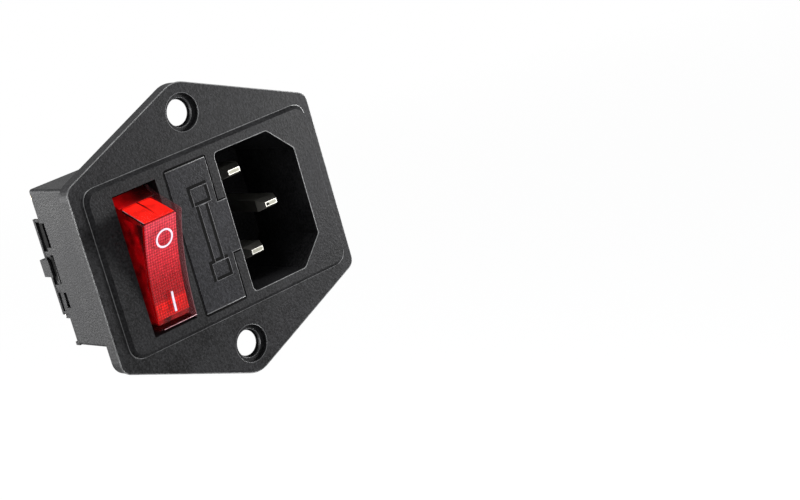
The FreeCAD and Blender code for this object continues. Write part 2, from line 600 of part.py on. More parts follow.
round_off(housing, "post_tips", "post_bevel", depth=val("body_deep+post_tall"), kind="Chamfer")
nose = COVER_OUT + "+latch_gap"
pad(housing, "latch", "YZ", "latch_x-latch_width/2", "latch_x+latch_width/2", loop([
    ("body_deep-latch_pocket_depth-0.5", "latch_low"), (nose + "+latch_nose_tall", "latch_low"),
    (nose + "+latch_nose_tall", "latch_low+0.7"), (nose + "+0.3", "window_high+latch_nose"),
    (nose, "window_high+latch_nose"), (nose, "latch_high"),
    ("body_deep-latch_pocket_depth-0.5", "latch_high")]))

# ---------------------------------------------------------------- rear cover
cover = body("rear_cover")
pad(cover, "plate", "XZ", "body_deep", COVER_OUT, loop([
    ("pin_x+3.35", "body_half_height-0.2"), ("upper_post_x+2.7", "body_half_height-0.2"),
    ("upper_post_x+2.6", "output_z-cover_drop"), ("-body_left+0.6", "output_z-cover_drop"),
    ("-body_left+0.2", "neutral_z+1.75"), ("upper_post_x+2.0", "neutral_z+1.75"),
    ("upper_post_x+2.5", "-body_half_height+0.2"),
    ("body_right-body_corner_cut+0.4", "-body_half_height+0.2"),
    ("body_right-0.2", "-body_half_height+body_corner_cut-1.4"),
    ("body_right-0.2", "-3.7"), ("earth_x-2.35", "-3.3"), ("earth_x-3.95", "-2.9"),
    ("earth_x-4.15", "1.5"), ("earth_x-0.05", "1.7")]))
bosses = [("square", "pin_x-0.35", s + "pin_pitch/2", "square_boss_half", "square_boss_half")
          for s in ("", "-")]
bosses += [("long", "tail_x-0.05", s + "fuse_contact_z", "long_boss_half_width",
            "long_boss_half") for s in ("", "-")]
bosses.append(("long", "outer_boss_x", "outer_boss_z", "outer_boss_half_width",
               "long_boss_half"))
for kind in ("square", "long"):
    pad(cover, kind + "_bosses", "XZ", COVER_OUT + "-0.5", COVER_OUT + "+%s_boss_tall" % kind,
        *[mid_box(x, z, w, tall) for k, x, z, w, tall in bosses if k == kind])
    pocket(cover, kind + "_hollows", "XZ", "body_deep",
           COVER_OUT + "+%s_boss_tall-boss_wall" % kind,
           *[mid_box(x, z, w + "-boss_wall", tall + "-boss_wall/1.6")
             for k, x, z, w, tall in bosses if k == kind])
    round_off(cover, kind + "_boss_edges", "0.3",
              depth=val(COVER_OUT + "+%s_boss_tall" % kind), kind="Chamfer")
pocket(cover, "cover_holes", "XZ", "body_deep", COVER_OUT,
       disc("upper_post_x", "upper_post_z", "post_dia/2+post_hole_gap"),
       disc("lower_post_x", "lower_post_z", "post_dia/2+post_hole_gap"),
       box_loop("latch_x-latch_width/2-latch_gap", "latch_x+latch_width/2+latch_gap",
                "window_low", "window_high"))

# ---------------------------------------------------------------- rocker
# drawn square to its own axis, then tilted to where it rests with the switch on
rocker = body("rocker")
pad(rocker, "block", "YZ", ROCKER_LEFT, ROCKER_RIGHT, loop([
    ("-front_reach", "-front_half"), ("-front_reach", "front_half"),
    ("-end_reach", "end_half"), ("skirt_reach", "skirt_half"),
    ("skirt_reach", "-skirt_half"), ("-end_reach", "-end_half")]))
DIP = "(front_reach-front_middle)"
FACE_R = "((front_half^2+%s^2)/(2*%s))" % (DIP, DIP)
pocket(rocker, "face_hollow", "YZ", ROCKER_LEFT, ROCKER_RIGHT,
       disc("-front_middle-%s" % FACE_R, "0", FACE_R))
round_off(rocker, "front_edges", "rocker_edge_radius", depth=val("-front_reach"))
pocket(rocker, "inside", "YZ", ROCKER_LEFT + "+rocker_wall", ROCKER_RIGHT + "-rocker_wall",
       loop([("-front_middle+rocker_wall", "-front_half+rocker_wall"),
             ("-front_middle+rocker_wall", "front_half-rocker_wall"),
             ("-end_reach", "end_half-rocker_wall"), ("skirt_reach+1", "skirt_half-rocker_wall"),
             ("skirt_reach+1", "-skirt_half+rocker_wall"), ("-end_reach", "-end_half+rocker_wall")]))
pad(rocker, "boss", "XZ", "-front_middle+rocker_wall/2", "boss_reach",
    disc("switch_x", "0", "boss_dia/2"))
pocket(rocker, "boss_bore", "XZ", "-boss_bottom", "boss_reach",
       disc("switch_x", "0", "plunger_dia/2+plunger_gap"))
pad(rocker, "left_stub", "YZ", ROCKER_LEFT + "-stub_length", ROCKER_LEFT,
    disc("0", "0", "stub_dia/2"))
pad(rocker, "right_stub", "YZ", ROCKER_RIGHT, ROCKER_RIGHT + "+stub_length",
    disc("0", "0", "stub_dia/2"))
place(rocker, y="pivot_y", axis=X_AXIS, angle="rocker_tilt")

diffuser = body("rocker_diffuser")
pad(diffuser, "sheet", "XZ", "-front_middle+rocker_wall",
    "-front_middle+rocker_wall+diffuser_thick",
    mid_box("switch_x", "0", ROCKER_HALF + "-rocker_wall-diffuser_gap",
            "front_half-rocker_wall-diffuser_gap"),
    disc("switch_x", "0", "boss_dia/2+diffuser_gap"))
place(diffuser, y="pivot_y", axis=X_AXIS, angle="rocker_tilt")

plunger = body("plunger")
pad(plunger, "stem", "XZ", "plunger_back", "plunger_reach",
    disc("switch_x", "0", "plunger_dia/2"))
round_off(plunger, "tip", "plunger_dia/2*0.98", depth=val("plunger_reach"))
place(plunger, y="pivot_y", axis=X_AXIS, angle="rocker_tilt")

spring = body("plunger_spring")
coil_section = sketch_on(spring, "coil_section", "XZ", "0", [loop([
    ("spring_mean_dia/2+spring_wire/2*(%.5f)" % math.cos(math.radians(60 * i + 30)),
     "-boss_bottom+spring_seat+spring_wire/2*(1+(%.5f))" % math.sin(math.radians(60 * i + 30)))
    for i in range(6)])])
coil = spring.newObject("PartDesign::AdditiveHelix", "coil")
coil.Profile = coil_section
coil.ReferenceAxis = (coil_section, ["V_Axis"])
coil.Mode = 0
coil.setExpression("Pitch", ex("spring_pitch"))
coil.setExpression("Height", ex("plunger_back+boss_bottom-2*spring_seat-spring_wire"))
place(spring, x="switch_x", y="pivot_y", axis=X_AXIS, angle="rocker_tilt-90")

# ---------------------------------------------------------------- see-saw blade and contacts
blade = body("moving_blade")
rise_all = "blade_slope*blade_half_length"
pad(blade, "wings", "YZ", "switch_x-blade_width/2", "switch_x+blade_width/2", loop([
    ("0", "0"), ("-%s" % rise_all, "blade_half_length"),
    ("-%s-blade_thick" % rise_all, "blade_half_length"), ("-blade_thick", "0"),
    ("-%s-blade_thick" % rise_all, "-blade_half_length"),
    ("-%s" % rise_all, "-blade_half_length")]))
place(blade, y=BLADE_Y, axis=X_AXIS, angle="-blade_tilt")

# the moving contact's middle, on the back of the upper wing, turned with the blade
LEAN = "(atan(blade_slope)/1deg-blade_tilt)"
REACH_Y = ("(-blade_slope*contact_reach*cos(blade_tilt)+contact_reach*sin(blade_tilt))")
REACH_Z = ("(blade_slope*contact_reach*sin(blade_tilt)+contact_reach*cos(blade_tilt))")
stem = cylinder("moving_stem", "contact_dia/2", "contact_height", "switch_x",
                "%s+%s" % (BLADE_Y, REACH_Y), REACH_Z, X_AXIS, "-90+%s" % LEAN)
DOME_Y = "(%s+%s+(contact_height-contact_dome)*cos(%s))" % (BLADE_Y, REACH_Y, LEAN)
DOME_Z = "(%s+(contact_height-contact_dome)*sin(%s))" % (REACH_Z, LEAN)
dome = ball("moving_dome", "contact_dome", "switch_x", DOME_Y, DOME_Z)
combine("MultiCommon", "moving_contact", [stem, dome])
CONTACT_Y = "(%s+contact_dome+contact_gap)" % DOME_Y
FOOT_Y = "(%s+contact_dome+contact_gap+contact_height)" % DOME_Y
fixed = cylinder("fixed_contact", "contact_dia/2", "contact_height", "switch_x",
                 CONTACT_Y, DOME_Z, X_AXIS, "-90")
nodes.append(fixed)


def lug(owner, name, x, z, start, slot=None):
    """A rear lug with a bevelled tip and a hole."""
    pad(owner, name, "XY", z, "%s+terminal_thick" % z, loop([
        ("%s-lug_width/2" % x, start), ("%s+lug_width/2" % x, start),
        ("%s+lug_width/2" % x, "lug_tip-lug_bevel"),
        ("%s+lug_width/2-lug_bevel" % x, "lug_tip"),
        ("%s-lug_width/2+lug_bevel" % x, "lug_tip"),
        ("%s-lug_width/2" % x, "lug_tip-lug_bevel")]))
    if slot:
        hole = mid_box(x, LUG_HOLE_Y, "lug_hole_dia/2", "%s/2" % slot)
    else:
        hole = disc(x, LUG_HOLE_Y, "lug_hole_dia/2")
    pocket(owner, name + "_hole", "XY", z, "%s+terminal_thick" % z, hole)


output = body("output_terminal")
OUT_LOW, OUT_HIGH = "(output_z-terminal_thick/2)", "(output_z+terminal_thick/2)"
pad(output, "angle", "YZ", "switch_x-output_half_width", "switch_x+output_half_width", loop([
    (FOOT_Y, "foot_from"), (FOOT_Y + "+terminal_thick", "foot_from"),
    (FOOT_Y + "+terminal_thick", OUT_LOW), ("body_deep", OUT_LOW), ("body_deep", OUT_HIGH),
    (FOOT_Y, OUT_HIGH)]))
lug(output, "output_lug", "switch_x", OUT_LOW, "body_deep-1", "slot_length")

supply = body("input_terminal")
INPUT_LEFT, INPUT_RIGHT = "switch_x-input_half_width", "switch_x+input_half_width"
INPUT_BACK = "body_deep+input_end"
pad(supply, "strip", "XY", "-terminal_thick/2", "terminal_thick/2", loop([
    ("switch_x-input_tab_half", INPUT_BACK), ("switch_x-input_tab_half", FLOOR),
    (INPUT_LEFT, FLOOR), (INPUT_LEFT, BLADE_Y + "-ear_reach"),
    (INPUT_LEFT + "+ear_width", BLADE_Y + "-ear_reach"),
    (INPUT_LEFT + "+ear_width", BLADE_Y + "+seesaw_gap"),
    (INPUT_RIGHT + "-ear_width", BLADE_Y + "+seesaw_gap"),
    (INPUT_RIGHT + "-ear_width", BLADE_Y + "-ear_reach"),
    (INPUT_RIGHT, BLADE_Y + "-ear_reach"), (INPUT_RIGHT, FLOOR),
    ("switch_x+input_tab_half", FLOOR), ("switch_x+input_tab_half", INPUT_BACK)]))

neutral = body("neutral_terminal")
pad(neutral, "strip", "XY", "neutral_z-terminal_thick/2", "neutral_z+terminal_thick/2",
    box_loop("switch_x-neutral_half_width", "switch_x+neutral_half_width",
             "neutral_front", "body_deep+neutral_end"))

# ---------------------------------------------------------------- lamp and its leads
LAMP_X = "(switch_x-lamp_left)"
lamp = body("neon_lamp")
pad(lamp, "glass", "YZ", LAMP_X, LAMP_X + "+lamp_length", disc("lamp_y", "lamp_z", "lamp_dia/2"))
round_off(lamp, "closed_end", "lamp_dia/4", kind="Chamfer", names=lambda shape: [
    "Edge%d" % n for n, e in enumerate(shape.Edges, start=1)
    if abs(e.BoundBox.XMax - val(LAMP_X)) < 0.02])
pad(lamp, "pinch", "YZ", LAMP_X + "+lamp_length-0.2", LAMP_X + "+lamp_length+0.5",
    mid_box("lamp_y", "lamp_z", "lamp_dia/6", "lamp_dia/3"))

RESISTOR_END = "(switch_x-resistor_length/2)"
pieces = [cylinder("resistor_core", "resistor_dia/2-0.1", "resistor_length", RESISTOR_END,
                   "resistor_y", "resistor_z", Y_AXIS, "90")]
for name, start in (("resistor_left_end", RESISTOR_END),
                    ("resistor_right_end", "(switch_x+resistor_length/2-1.3)")):
    pieces.append(cylinder(name, "resistor_dia/2", "1.3", start, "resistor_y", "resistor_z",
                           Y_AXIS, "90"))
combine("MultiFuse", "lamp_resistor", pieces)


def lead(name, points):
    """A bent wire of six-sided section: straight runs that meet in mitred corners."""
    spots = [V(val(x), val(y), val(z)) for x, y, z in points]
    along = (spots[1] - spots[0]).normalize()
    side = along.cross(V(0, 0, 1) if abs(along.z) < 0.9 else V(1, 0, 0)).normalize()
    other = along.cross(side)
    radius = val("lead_dia/2")
    rim = [spots[0] + side * (radius * math.cos(math.radians(60 * i)))
           + other * (radius * math.sin(math.radians(60 * i))) for i in range(7)]
    made = doc.addObject("Part::Feature", name)
    made.Shape = Part.makePolygon(spots).makePipeShell([Part.makePolygon(rim)], True, False, 1)
    made.Placement = FreeCAD.Placement(V(0, 0, 0), FreeCAD.Rotation())
    made.Label = name
    nodes.append(made)


LAMP_END = "(switch_x-lamp_left+lamp_length+0.5)"
SIDE_RIGHT, SIDE_LEFT = "(switch_x+lead_side)", "(switch_x-lead_side)"
lead("lamp_lead_mid", [
    (LAMP_END, "lamp_y", "lamp_z+lead_split"), (SIDE_RIGHT, "lamp_y", "lamp_z+lead_split"),
    (SIDE_RIGHT, "resistor_y", "lamp_z+lead_split"), (SIDE_RIGHT, "resistor_y", "resistor_z"),
    ("switch_x+resistor_length/2", "resistor_y", "resistor_z")])
lead("lamp_lead_live", [
    (RESISTOR_END, "resistor_y", "resistor_z"), (SIDE_LEFT, "resistor_y", "resistor_z"),
    (SIDE_LEFT, "resistor_y", "output_z-1.6"), ("switch_x-2.6", "resistor_y", "output_z-1.6"),
    ("switch_x-2.6", "resistor_y", OUT_LOW)])
lead("lamp_lead_neutral", [
    (LAMP_END, "lamp_y", "lamp_z-lead_split"), ("switch_x+3.1", "lamp_y", "lamp_z-lead_split"),
    ("switch_x+3.1", "neutral_front", "lamp_z-lead_split")])

# ---------------------------------------------------------------- fuse drawer
drawer = body("fuse_drawer")
pad(drawer, "face", "XZ", DRAWER_FRONT, DRAWER_BACK,
    loop([(DRAWER_LEFT, "-drawer_half_height"), (DRAWER_RIGHT, "-drawer_half_height"),
          (DRAWER_RIGHT, "-tab_half"), ("tab_right", "-tab_half"), ("tab_right", "tab_half"),
          (DRAWER_RIGHT, "tab_half"), (DRAWER_RIGHT, "drawer_half_height"),
          (DRAWER_LEFT, "drawer_half_height")]))
for side, sign, edge in (("left", "+", DRAWER_LEFT), ("right", "-", DRAWER_RIGHT)):
    near = "%s%sdrawer_inset" % (edge, sign)
    far = "%s%s(drawer_inset+drawer_wall)" % (edge, sign)
    low, high = (near, far) if sign == "+" else (far, near)
    pad(drawer, side + "_wall", "XZ", DRAWER_BACK, "drawer_wall_back",
        box_loop(low, high, "-drawer_half_height+drawer_inset",
                 "drawer_half_height-drawer_inset"))
for side, low, high in (
        ("upper", "drawer_end_inside", "drawer_half_height-drawer_inset"),
        ("lower", "-drawer_half_height+drawer_inset", "-drawer_end_inside")):
    pad(drawer, side + "_end", "XZ", DRAWER_BACK, "drawer_rail_back",
        box_loop(DRAWER_LEFT + "+drawer_inset", DRAWER_RIGHT + "-drawer_inset", low, high))
GLASS_R = "(cap_dia/2-cap_wall-glass_gap)"
STRAP_Y = "(fuse_y+cap_dia/2+strap_gap)"
pad(drawer, "strap", "XZ", STRAP_Y, STRAP_Y + "+strap_thick",
    box_loop(DRAWER_LEFT + "+drawer_inset", DRAWER_RIGHT + "-drawer_inset",
             "-strap_half", "strap_half"))
pad(drawer, "strap_sides", "XZ", "drawer_wall_back-0.2", STRAP_Y + "+strap_thick", *[
    box_loop(low, high, "-strap_half", "strap_half") for low, high in (
        (DRAWER_LEFT + "+drawer_inset", DRAWER_LEFT + "+drawer_inset+drawer_wall"),
        (DRAWER_RIGHT + "-drawer_inset-drawer_wall", DRAWER_RIGHT + "-drawer_inset"))])
for side, sign in (("upper", ""), ("lower", "-")):
    mid = "%scradle_z" % sign
    pad(drawer, side + "_cradle", "XY", mid + "-cradle_thick/2", mid + "+cradle_thick/2",
        box_loop(DRAWER_LEFT + "+drawer_inset", DRAWER_RIGHT + "-drawer_inset",
                 DRAWER_BACK + "-0.2", "fuse_y-0.3"))
pocket(drawer, "fuse_seat", "XY", "-drawer_end_inside", "drawer_end_inside",
       disc("drawer_x", "fuse_y", GLASS_R + "+glass_gap"))

glass = body("fuse_glass")
HALF_GLASS = "(fuse_half-cap_wall-glass_gap)"
pad(glass, "tube", "XY", "-" + HALF_GLASS, HALF_GLASS, disc("drawer_x", "fuse_y", GLASS_R),
    disc("drawer_x", "fuse_y", GLASS_R + "-glass_wall"))
for side, low, high, floor_low, floor_high in (
        ("upper", "fuse_half-cap_length", "fuse_half", "fuse_half-cap_wall", "fuse_half"),
        ("lower", "-fuse_half", "-fuse_half+cap_length", "-fuse_half", "-fuse_half+cap_wall")):
    cap = body("fuse_cap_" + side)
    pad(cap, "wall", "XY", low, high, disc("drawer_x", "fuse_y", "cap_dia/2"),
        disc("drawer_x", "fuse_y", "cap_dia/2-cap_wall"))
    pad(cap, "end", "XY", floor_low, floor_high, disc("drawer_x", "fuse_y", "cap_dia/2"))
element = cylinder("fuse_wire", "fuse_wire_dia/2", "2*(fuse_half-cap_wall)", "drawer_x",
                   "fuse_y", "-fuse_half+cap_wall", Z_AXIS, "0")
nodes.append(element)

CREST = "(fuse_y+cap_dia/2+fuse_contact_gap)"
for side, sign in (("upper", ""), ("lower", "-")):
    contact = body("fuse_contact_" + side)
    inner = "%s(fuse_contact_z-fuse_contact_thick/2)" % sign
    outer_face = "%s(fuse_contact_z+fuse_contact_thick/2)" % sign
    crest_z = "%s(fuse_contact_z+fuse_contact_crest)" % sign
    tip_z = "%s(fuse_contact_z+fuse_contact_tip)" % sign
    pad(contact, "arm", "YZ", "drawer_x-fuse_contact_width/2", "drawer_x+fuse_contact_width/2",
        loop([("tail_from+0.5", inner), (CREST + "+fuse_contact_bow", inner), (CREST, crest_z),
              (CREST + "+fuse_contact_bow*0.7", tip_z),
              (CREST + "+fuse_contact_bow*0.7+fuse_contact_thick", tip_z),
              (CREST + "+fuse_contact_thick", crest_z),
              (CREST + "+fuse_contact_bow+fuse_contact_thick*0.9", outer_face),
              ("tail_from+0.5", outer_face)]))
    pad(contact, "tail", "YZ", "tail_x-tail_width/2", "tail_x+tail_width/2",
        loop([("tail_from", inner), ("tail_from", outer_face),
              ("body_deep+tail_end", outer_face), ("body_deep+tail_end", inner)]))

# ---------------------------------------------------------------- inlet pins


def pin(name, x, z, tip, back):
    """A flat pin with a tapered tip."""
    made = body(name)
    pad(made, "shank", "XZ", "%s+pin_taper" % tip, back,
        mid_box(x, z, "pin_width/2", "pin_thick/2"))
    loft(made, "tip", "XZ", [
        ("%s+pin_taper" % tip, mid_box(x, z, "pin_width/2", "pin_thick/2")),
        (tip, mid_box(x, z, "pin_point_width/2", "pin_point_thick/2"))])
    return made


for name, sign in (("line_pin", ""), ("neutral_pin", "-")):
    contact_pin = pin(name, "pin_x", sign + "pin_pitch/2", "pin_tip", FLOOR)
    pad(contact_pin, "tenon", "XZ", FLOOR + "-0.5", BAR_TOP + "+rivet_gap+rivet_thick/2",
        disc("pin_x", sign + "pin_pitch/2", "tenon_dia/2"))
    pad(contact_pin, "rivet", "XZ", BAR_TOP + "+rivet_gap", BAR_TOP + "+rivet_gap+rivet_thick",
        disc("pin_x", sign + "pin_pitch/2", "rivet_dia/2"))
earth = pin("earth_pin", "earth_x", "0", "(pin_tip-earth_lead)", "body_deep")
lug(earth, "earth_lug", "earth_x", "(-terminal_thick/2)", "body_deep-0.5")

# ---------------------------------------------------------------- busbars
for name, outline, holes in (
        ("line_busbar", line_bar, [
            disc("pin_x", "pin_pitch/2", "tenon_dia/2+rivet_gap"),
            mid_box("tail_x", "fuse_contact_z", "tail_width/2+rivet_gap",
                    "fuse_contact_thick/2+rivet_gap")]),
        ("link_busbar", link_bar, [
            mid_box("tail_x", "-fuse_contact_z", "tail_width/2+rivet_gap",
                    "fuse_contact_thick/2+rivet_gap"),
            mid_box("switch_x", "0", "input_tab_half+rivet_gap",
                    "terminal_thick/2+rivet_gap")]),
        ("neutral_busbar", neutral_bar, [
            disc("pin_x", "-pin_pitch/2", "tenon_dia/2+rivet_gap"),
            mid_box("switch_x", "neutral_z", "neutral_half_width+rivet_gap",
                    "terminal_thick/2+rivet_gap")])):
    bar = body(name)
    pad(bar, "plate", "XZ", FLOOR, BAR_TOP, loop(outline), *holes)
    if name == "neutral_busbar":
        lug(bar, "neutral_lug", "(switch_x-0.7)", LUG_Z, FLOOR)

# ---------------------------------------------------------------- checks and files
doc.recompute()
for thing in doc.Objects:
    if {"Invalid", "Error"} & set(thing.State):
        raise RuntimeError("%s failed: %s" % (thing.Label, thing.State))
for cut in cuts:
    before = cut.BaseFeature.Shape.Volume
    if before - cut.Shape.Volume < 1e-3:
        raise RuntimeError("%s cuts nothing" % cut.Label)
for node in nodes:
    shape = node.Shape
    if shape.isNull() or not shape.isValid() or len(shape.Solids) != 1:
        raise RuntimeError("%s is not one sound solid (%d)" % (node.Label, len(shape.Solids)))
os.makedirs("parts", exist_ok=True)
for node in nodes:
    node.Shape.exportStep("parts/%s.step" % node.Label)
print("%d sub-parts written" % len(nodes))
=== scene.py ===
"""Dresses the C14 panel inlet socket: moulded body, lit red rocker, fuse drawer and metal parts."""
import json
import logging
from dataclasses import dataclass
from enum import Enum
from functools import cache
from typing import Sequence

import bmesh
import bpy
import numpy as np
from mathutils import Matrix, Vector

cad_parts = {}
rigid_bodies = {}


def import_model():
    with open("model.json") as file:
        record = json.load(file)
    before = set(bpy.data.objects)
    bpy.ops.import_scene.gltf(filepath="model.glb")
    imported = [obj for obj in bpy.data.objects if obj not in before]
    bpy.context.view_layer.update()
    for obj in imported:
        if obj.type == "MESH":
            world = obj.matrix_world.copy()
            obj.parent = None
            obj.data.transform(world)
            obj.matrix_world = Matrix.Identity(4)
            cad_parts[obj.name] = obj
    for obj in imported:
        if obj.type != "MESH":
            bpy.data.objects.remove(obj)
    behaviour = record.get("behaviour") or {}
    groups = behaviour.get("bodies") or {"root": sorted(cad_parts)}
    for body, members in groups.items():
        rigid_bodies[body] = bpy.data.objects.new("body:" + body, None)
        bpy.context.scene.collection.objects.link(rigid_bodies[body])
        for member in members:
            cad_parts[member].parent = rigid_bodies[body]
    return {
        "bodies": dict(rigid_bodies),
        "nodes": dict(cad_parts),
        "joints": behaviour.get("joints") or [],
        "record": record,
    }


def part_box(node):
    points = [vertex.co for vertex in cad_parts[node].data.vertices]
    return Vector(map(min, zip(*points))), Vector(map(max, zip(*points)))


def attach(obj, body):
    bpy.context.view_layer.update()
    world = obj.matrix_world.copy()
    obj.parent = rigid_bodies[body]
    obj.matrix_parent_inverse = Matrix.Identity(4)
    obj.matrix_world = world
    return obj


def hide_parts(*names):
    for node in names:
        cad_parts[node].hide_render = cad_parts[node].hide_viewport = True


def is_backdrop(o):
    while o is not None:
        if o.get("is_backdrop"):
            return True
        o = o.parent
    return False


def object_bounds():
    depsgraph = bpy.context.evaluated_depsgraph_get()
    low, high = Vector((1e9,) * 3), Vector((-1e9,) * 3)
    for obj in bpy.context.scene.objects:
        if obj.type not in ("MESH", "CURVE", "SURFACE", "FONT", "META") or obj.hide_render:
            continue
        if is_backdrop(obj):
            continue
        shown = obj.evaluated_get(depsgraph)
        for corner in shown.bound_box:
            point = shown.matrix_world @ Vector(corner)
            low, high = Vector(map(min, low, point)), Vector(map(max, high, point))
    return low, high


LOG = logging.getLogger("inlet_socket")
MM = 0.001
Array = np.ndarray
Object, Material = bpy.types.Object, bpy.types.Material
Node, Tree, Socket = bpy.types.Node, bpy.types.NodeTree, bpy.types.NodeSocket
Pair = tuple[float, float]
Triple = tuple[float, float, float]
Value = Socket | float
Inputs = dict[str | int, Socket | float | Sequence[float]]


class Home(Enum):
    """Where a piece belongs: the moving body that it rides on and its slot."""

    CASE = ("inlet_body", "black_moulding")
    COVER = ("inlet_body", "cover_moulding")
    PIN = ("inlet_body", "nickel_pin")
    DIFFUSER = ("rocker_body", "red_diffuser")
    LENS = ("rocker_body", "red_lens")
    DRAWER = ("drawer_body", "drawer_moulding")


class Metal(Enum):
    """The metals on show, each as (red, green, blue, roughness)."""

    NICKEL = (0.80, 0.78, 0.74, 0.22)
    DULL_NICKEL = (0.27, 0.265, 0.245, 0.40)
    DARK_NICKEL = (0.13, 0.128, 0.108, 0.50)
    TIN = (0.74, 0.74, 0.73, 0.30)
    BRASS = (0.74, 0.56, 0.28, 0.30)
    COPPER = (0.74, 0.45, 0.28, 0.28)
    SILVER = (0.86, 0.86, 0.84, 0.20)
    BRONZE = (0.70, 0.50, 0.30, 0.32)
    STEEL = (0.52, 0.52, 0.53, 0.32)


# ---------------- shader nodes
def feed(tree: Tree, node: Node, values: Inputs) -> None:
    """Gives a node's inputs what they read.

    Args:
        tree: the node tree.
        node: the node.
        values: the socket or the constant of each input, by its name or number.
    """
    for slot, value in values.items():
        if isinstance(value, bpy.types.NodeSocket):
            tree.links.new(value, node.inputs[slot])
        else:
            node.inputs[slot].default_value = value


def add_node(tree: Tree, kind: str, values: Inputs, **settings: str | bool | Tree) -> Node:
    """Adds a shader node.

    Args:
        tree: the node tree.
        kind: the node's type, without the ShaderNode in front.
        values: what its inputs read.
        settings: the node's own settings.

    Returns:
        The new node.
    """
    node = tree.nodes.new("ShaderNode" + kind)
    for name, value in settings.items():
        setattr(node, name, value)
    feed(tree, node, values)
    return node


def math_node(tree: Tree, operation: str, a: Value, b: Value = 0.0, clamp: bool = False
              ) -> Socket:
    """The result of a Math node, which stays from 0 to 1 if clamp is set."""
    return add_node(tree, "Math", {0: a, 1: b}, operation=operation, use_clamp=clamp).outputs[0]


def straight(tree: Tree, value: Socket, slope: Value, start: Value, clamp: bool = False
             ) -> Socket:
    """The value put on a straight line: value * slope + start."""
    return math_node(tree, "ADD", math_node(tree, "MULTIPLY", value, slope), start, clamp)


def noise_node(tree: Tree, vector: Socket, scale: Value, detail: float,
               roughness: float = 0.5) -> Socket:
    """The value of a 3-D noise that reads a vector."""
    return add_node(tree, "TexNoise", {"Vector": vector, "Scale": scale, "Detail": detail,
                                       "Roughness": roughness}).outputs["Fac"]


def colour_ramp(tree: Tree, mask: Socket, stops: Sequence[tuple[float, Triple]]) -> Socket:
    """A colour that goes through stops with the mask.

    Args:
        tree: the node tree.
        mask: the value that picks the colour.
        stops: two or more (place, colour) pairs, by rising place.

    Returns:
        The colour's socket.
    """
    node = add_node(tree, "ValToRGB", {"Fac": mask})
    elements = node.color_ramp.elements
    for index, (place, colour) in enumerate(stops):
        stop = elements[index] if index < 2 else elements.new(place)
        stop.position, stop.color = place, (*colour, 1.0)
    return node.outputs["Color"]


def colour_between(tree: Tree, mask: Socket, low: Triple, high: Triple) -> Socket:
    """A colour that goes from low to high with the mask."""
    return colour_ramp(tree, mask, ((0.0, low), (1.0, high)))


def stretched(tree: Tree, value: Socket, low: float, high: float) -> Socket:
    """The value mapped so that low becomes 0 and high becomes 1, and held there."""
    return add_node(tree, "MapRange", {"From Min": low, "From Max": high, "Value": value}
                    ).outputs["Result"]


def parted(tree: Tree, vector: Socket) -> Sequence[Socket]:
    """A vector's X, Y and Z."""
    return add_node(tree, "SeparateXYZ", {0: vector}).outputs


def bump(tree: Tree, height: Socket, distance: float, strength: float) -> Socket:
    """The normal of a height, in metres at full strength."""
    return add_node(tree, "Bump", {"Distance": distance, "Strength": strength, "Height": height}
                    ).outputs["Normal"]


def new_group(name: str, inputs: dict[str, float], outputs: Sequence[str]
              ) -> tuple[Tree, Sequence[Socket], Node]:
    """Starts a shader node group that reads a vector and some values.

    Args:
        name: the group's name.
        inputs: the name and default of each value.
        outputs: the names of the values that it puts out.

    Returns:
        The group, the sockets of its inputs and its output node.
    """
    tree = bpy.data.node_groups.new(name, "ShaderNodeTree")
    tree.interface.new_socket(name="Vector", in_out="INPUT", socket_type="NodeSocketVector")
    for label, default in inputs.items():
        tree.interface.new_socket(name=label, in_out="INPUT",
                                  socket_type="NodeSocketFloat").default_value = default
    for label in outputs:
        tree.interface.new_socket(name=label, in_out="OUTPUT", socket_type="NodeSocketFloat")
    return tree, tree.nodes.new("NodeGroupInput").outputs, tree.nodes.new("NodeGroupOutput")


@cache
def moulded_grain_group() -> Tree:
    """The fine spark-eroded grain of a moulded case, with faint cloudiness.

    Returns:
        A group with the grain's height, a colour mask and a roughness.
    """
    tree, given, out = new_group("moulded_grain", {"Scale": 4200.0, "Roughness": 0.5},
                                 ("Height", "Mask", "Roughness"))
    coarser, cloud_share, cloud_height, dulling = 0.05, 0.3, 0.15, 0.25
    darkest, palest = 0.36, 0.66
    vector, scale = given["Vector"], given["Scale"]
    fine = noise_node(tree, vector, scale, 3.0, 0.6)
    broad = noise_node(tree, vector, math_node(tree, "MULTIPLY", scale, coarser), 2.0)
    both = straight(tree, fine, 1.0 - cloud_share, math_node(tree, "MULTIPLY", broad, cloud_share))
    feed(tree, out, {
        "Height": straight(tree, broad, cloud_height, math_node(tree, "POWER", fine, 2.0)),
        "Mask": stretched(tree, both, darkest, palest),
        "Roughness": straight(tree, math_node(tree, "SUBTRACT", broad, 0.5), dulling,
                              given["Roughness"])})
    return tree


@cache
def drawn_metal_group() -> Tree:
    """Fine lines drawn along the sheet, with stains that dull it in patches.

    Returns:
        A group with the lines' height, a tarnish mask and a roughness.
    """
    tree, given, out = new_group("drawn_metal", {"Roughness": 0.3, "Tarnish": 0.5},
                                 ("Height", "Mask", "Roughness"))
    drawn_out, line_scale, dulling = (1.0, 0.06, 1.0), 5200.0, 0.25
    stain_scale, stain_floor, stain_edge = 520.0, 0.42, 4.0
    along = add_node(tree, "Mapping", {"Scale": drawn_out, "Vector": given["Vector"]})
    stain = noise_node(tree, given["Vector"], stain_scale, 4.0, 0.6)
    mask = math_node(tree, "SUBTRACT", stain, stain_floor, True)
    for factor in (stain_edge, given["Tarnish"]):
        mask = math_node(tree, "MULTIPLY", mask, factor, True)
    feed(tree, out, {"Height": noise_node(tree, along.outputs["Vector"], line_scale, 2.0),
                     "Mask": mask,
                     "Roughness": straight(tree, mask, dulling, given["Roughness"], True)})
    return tree


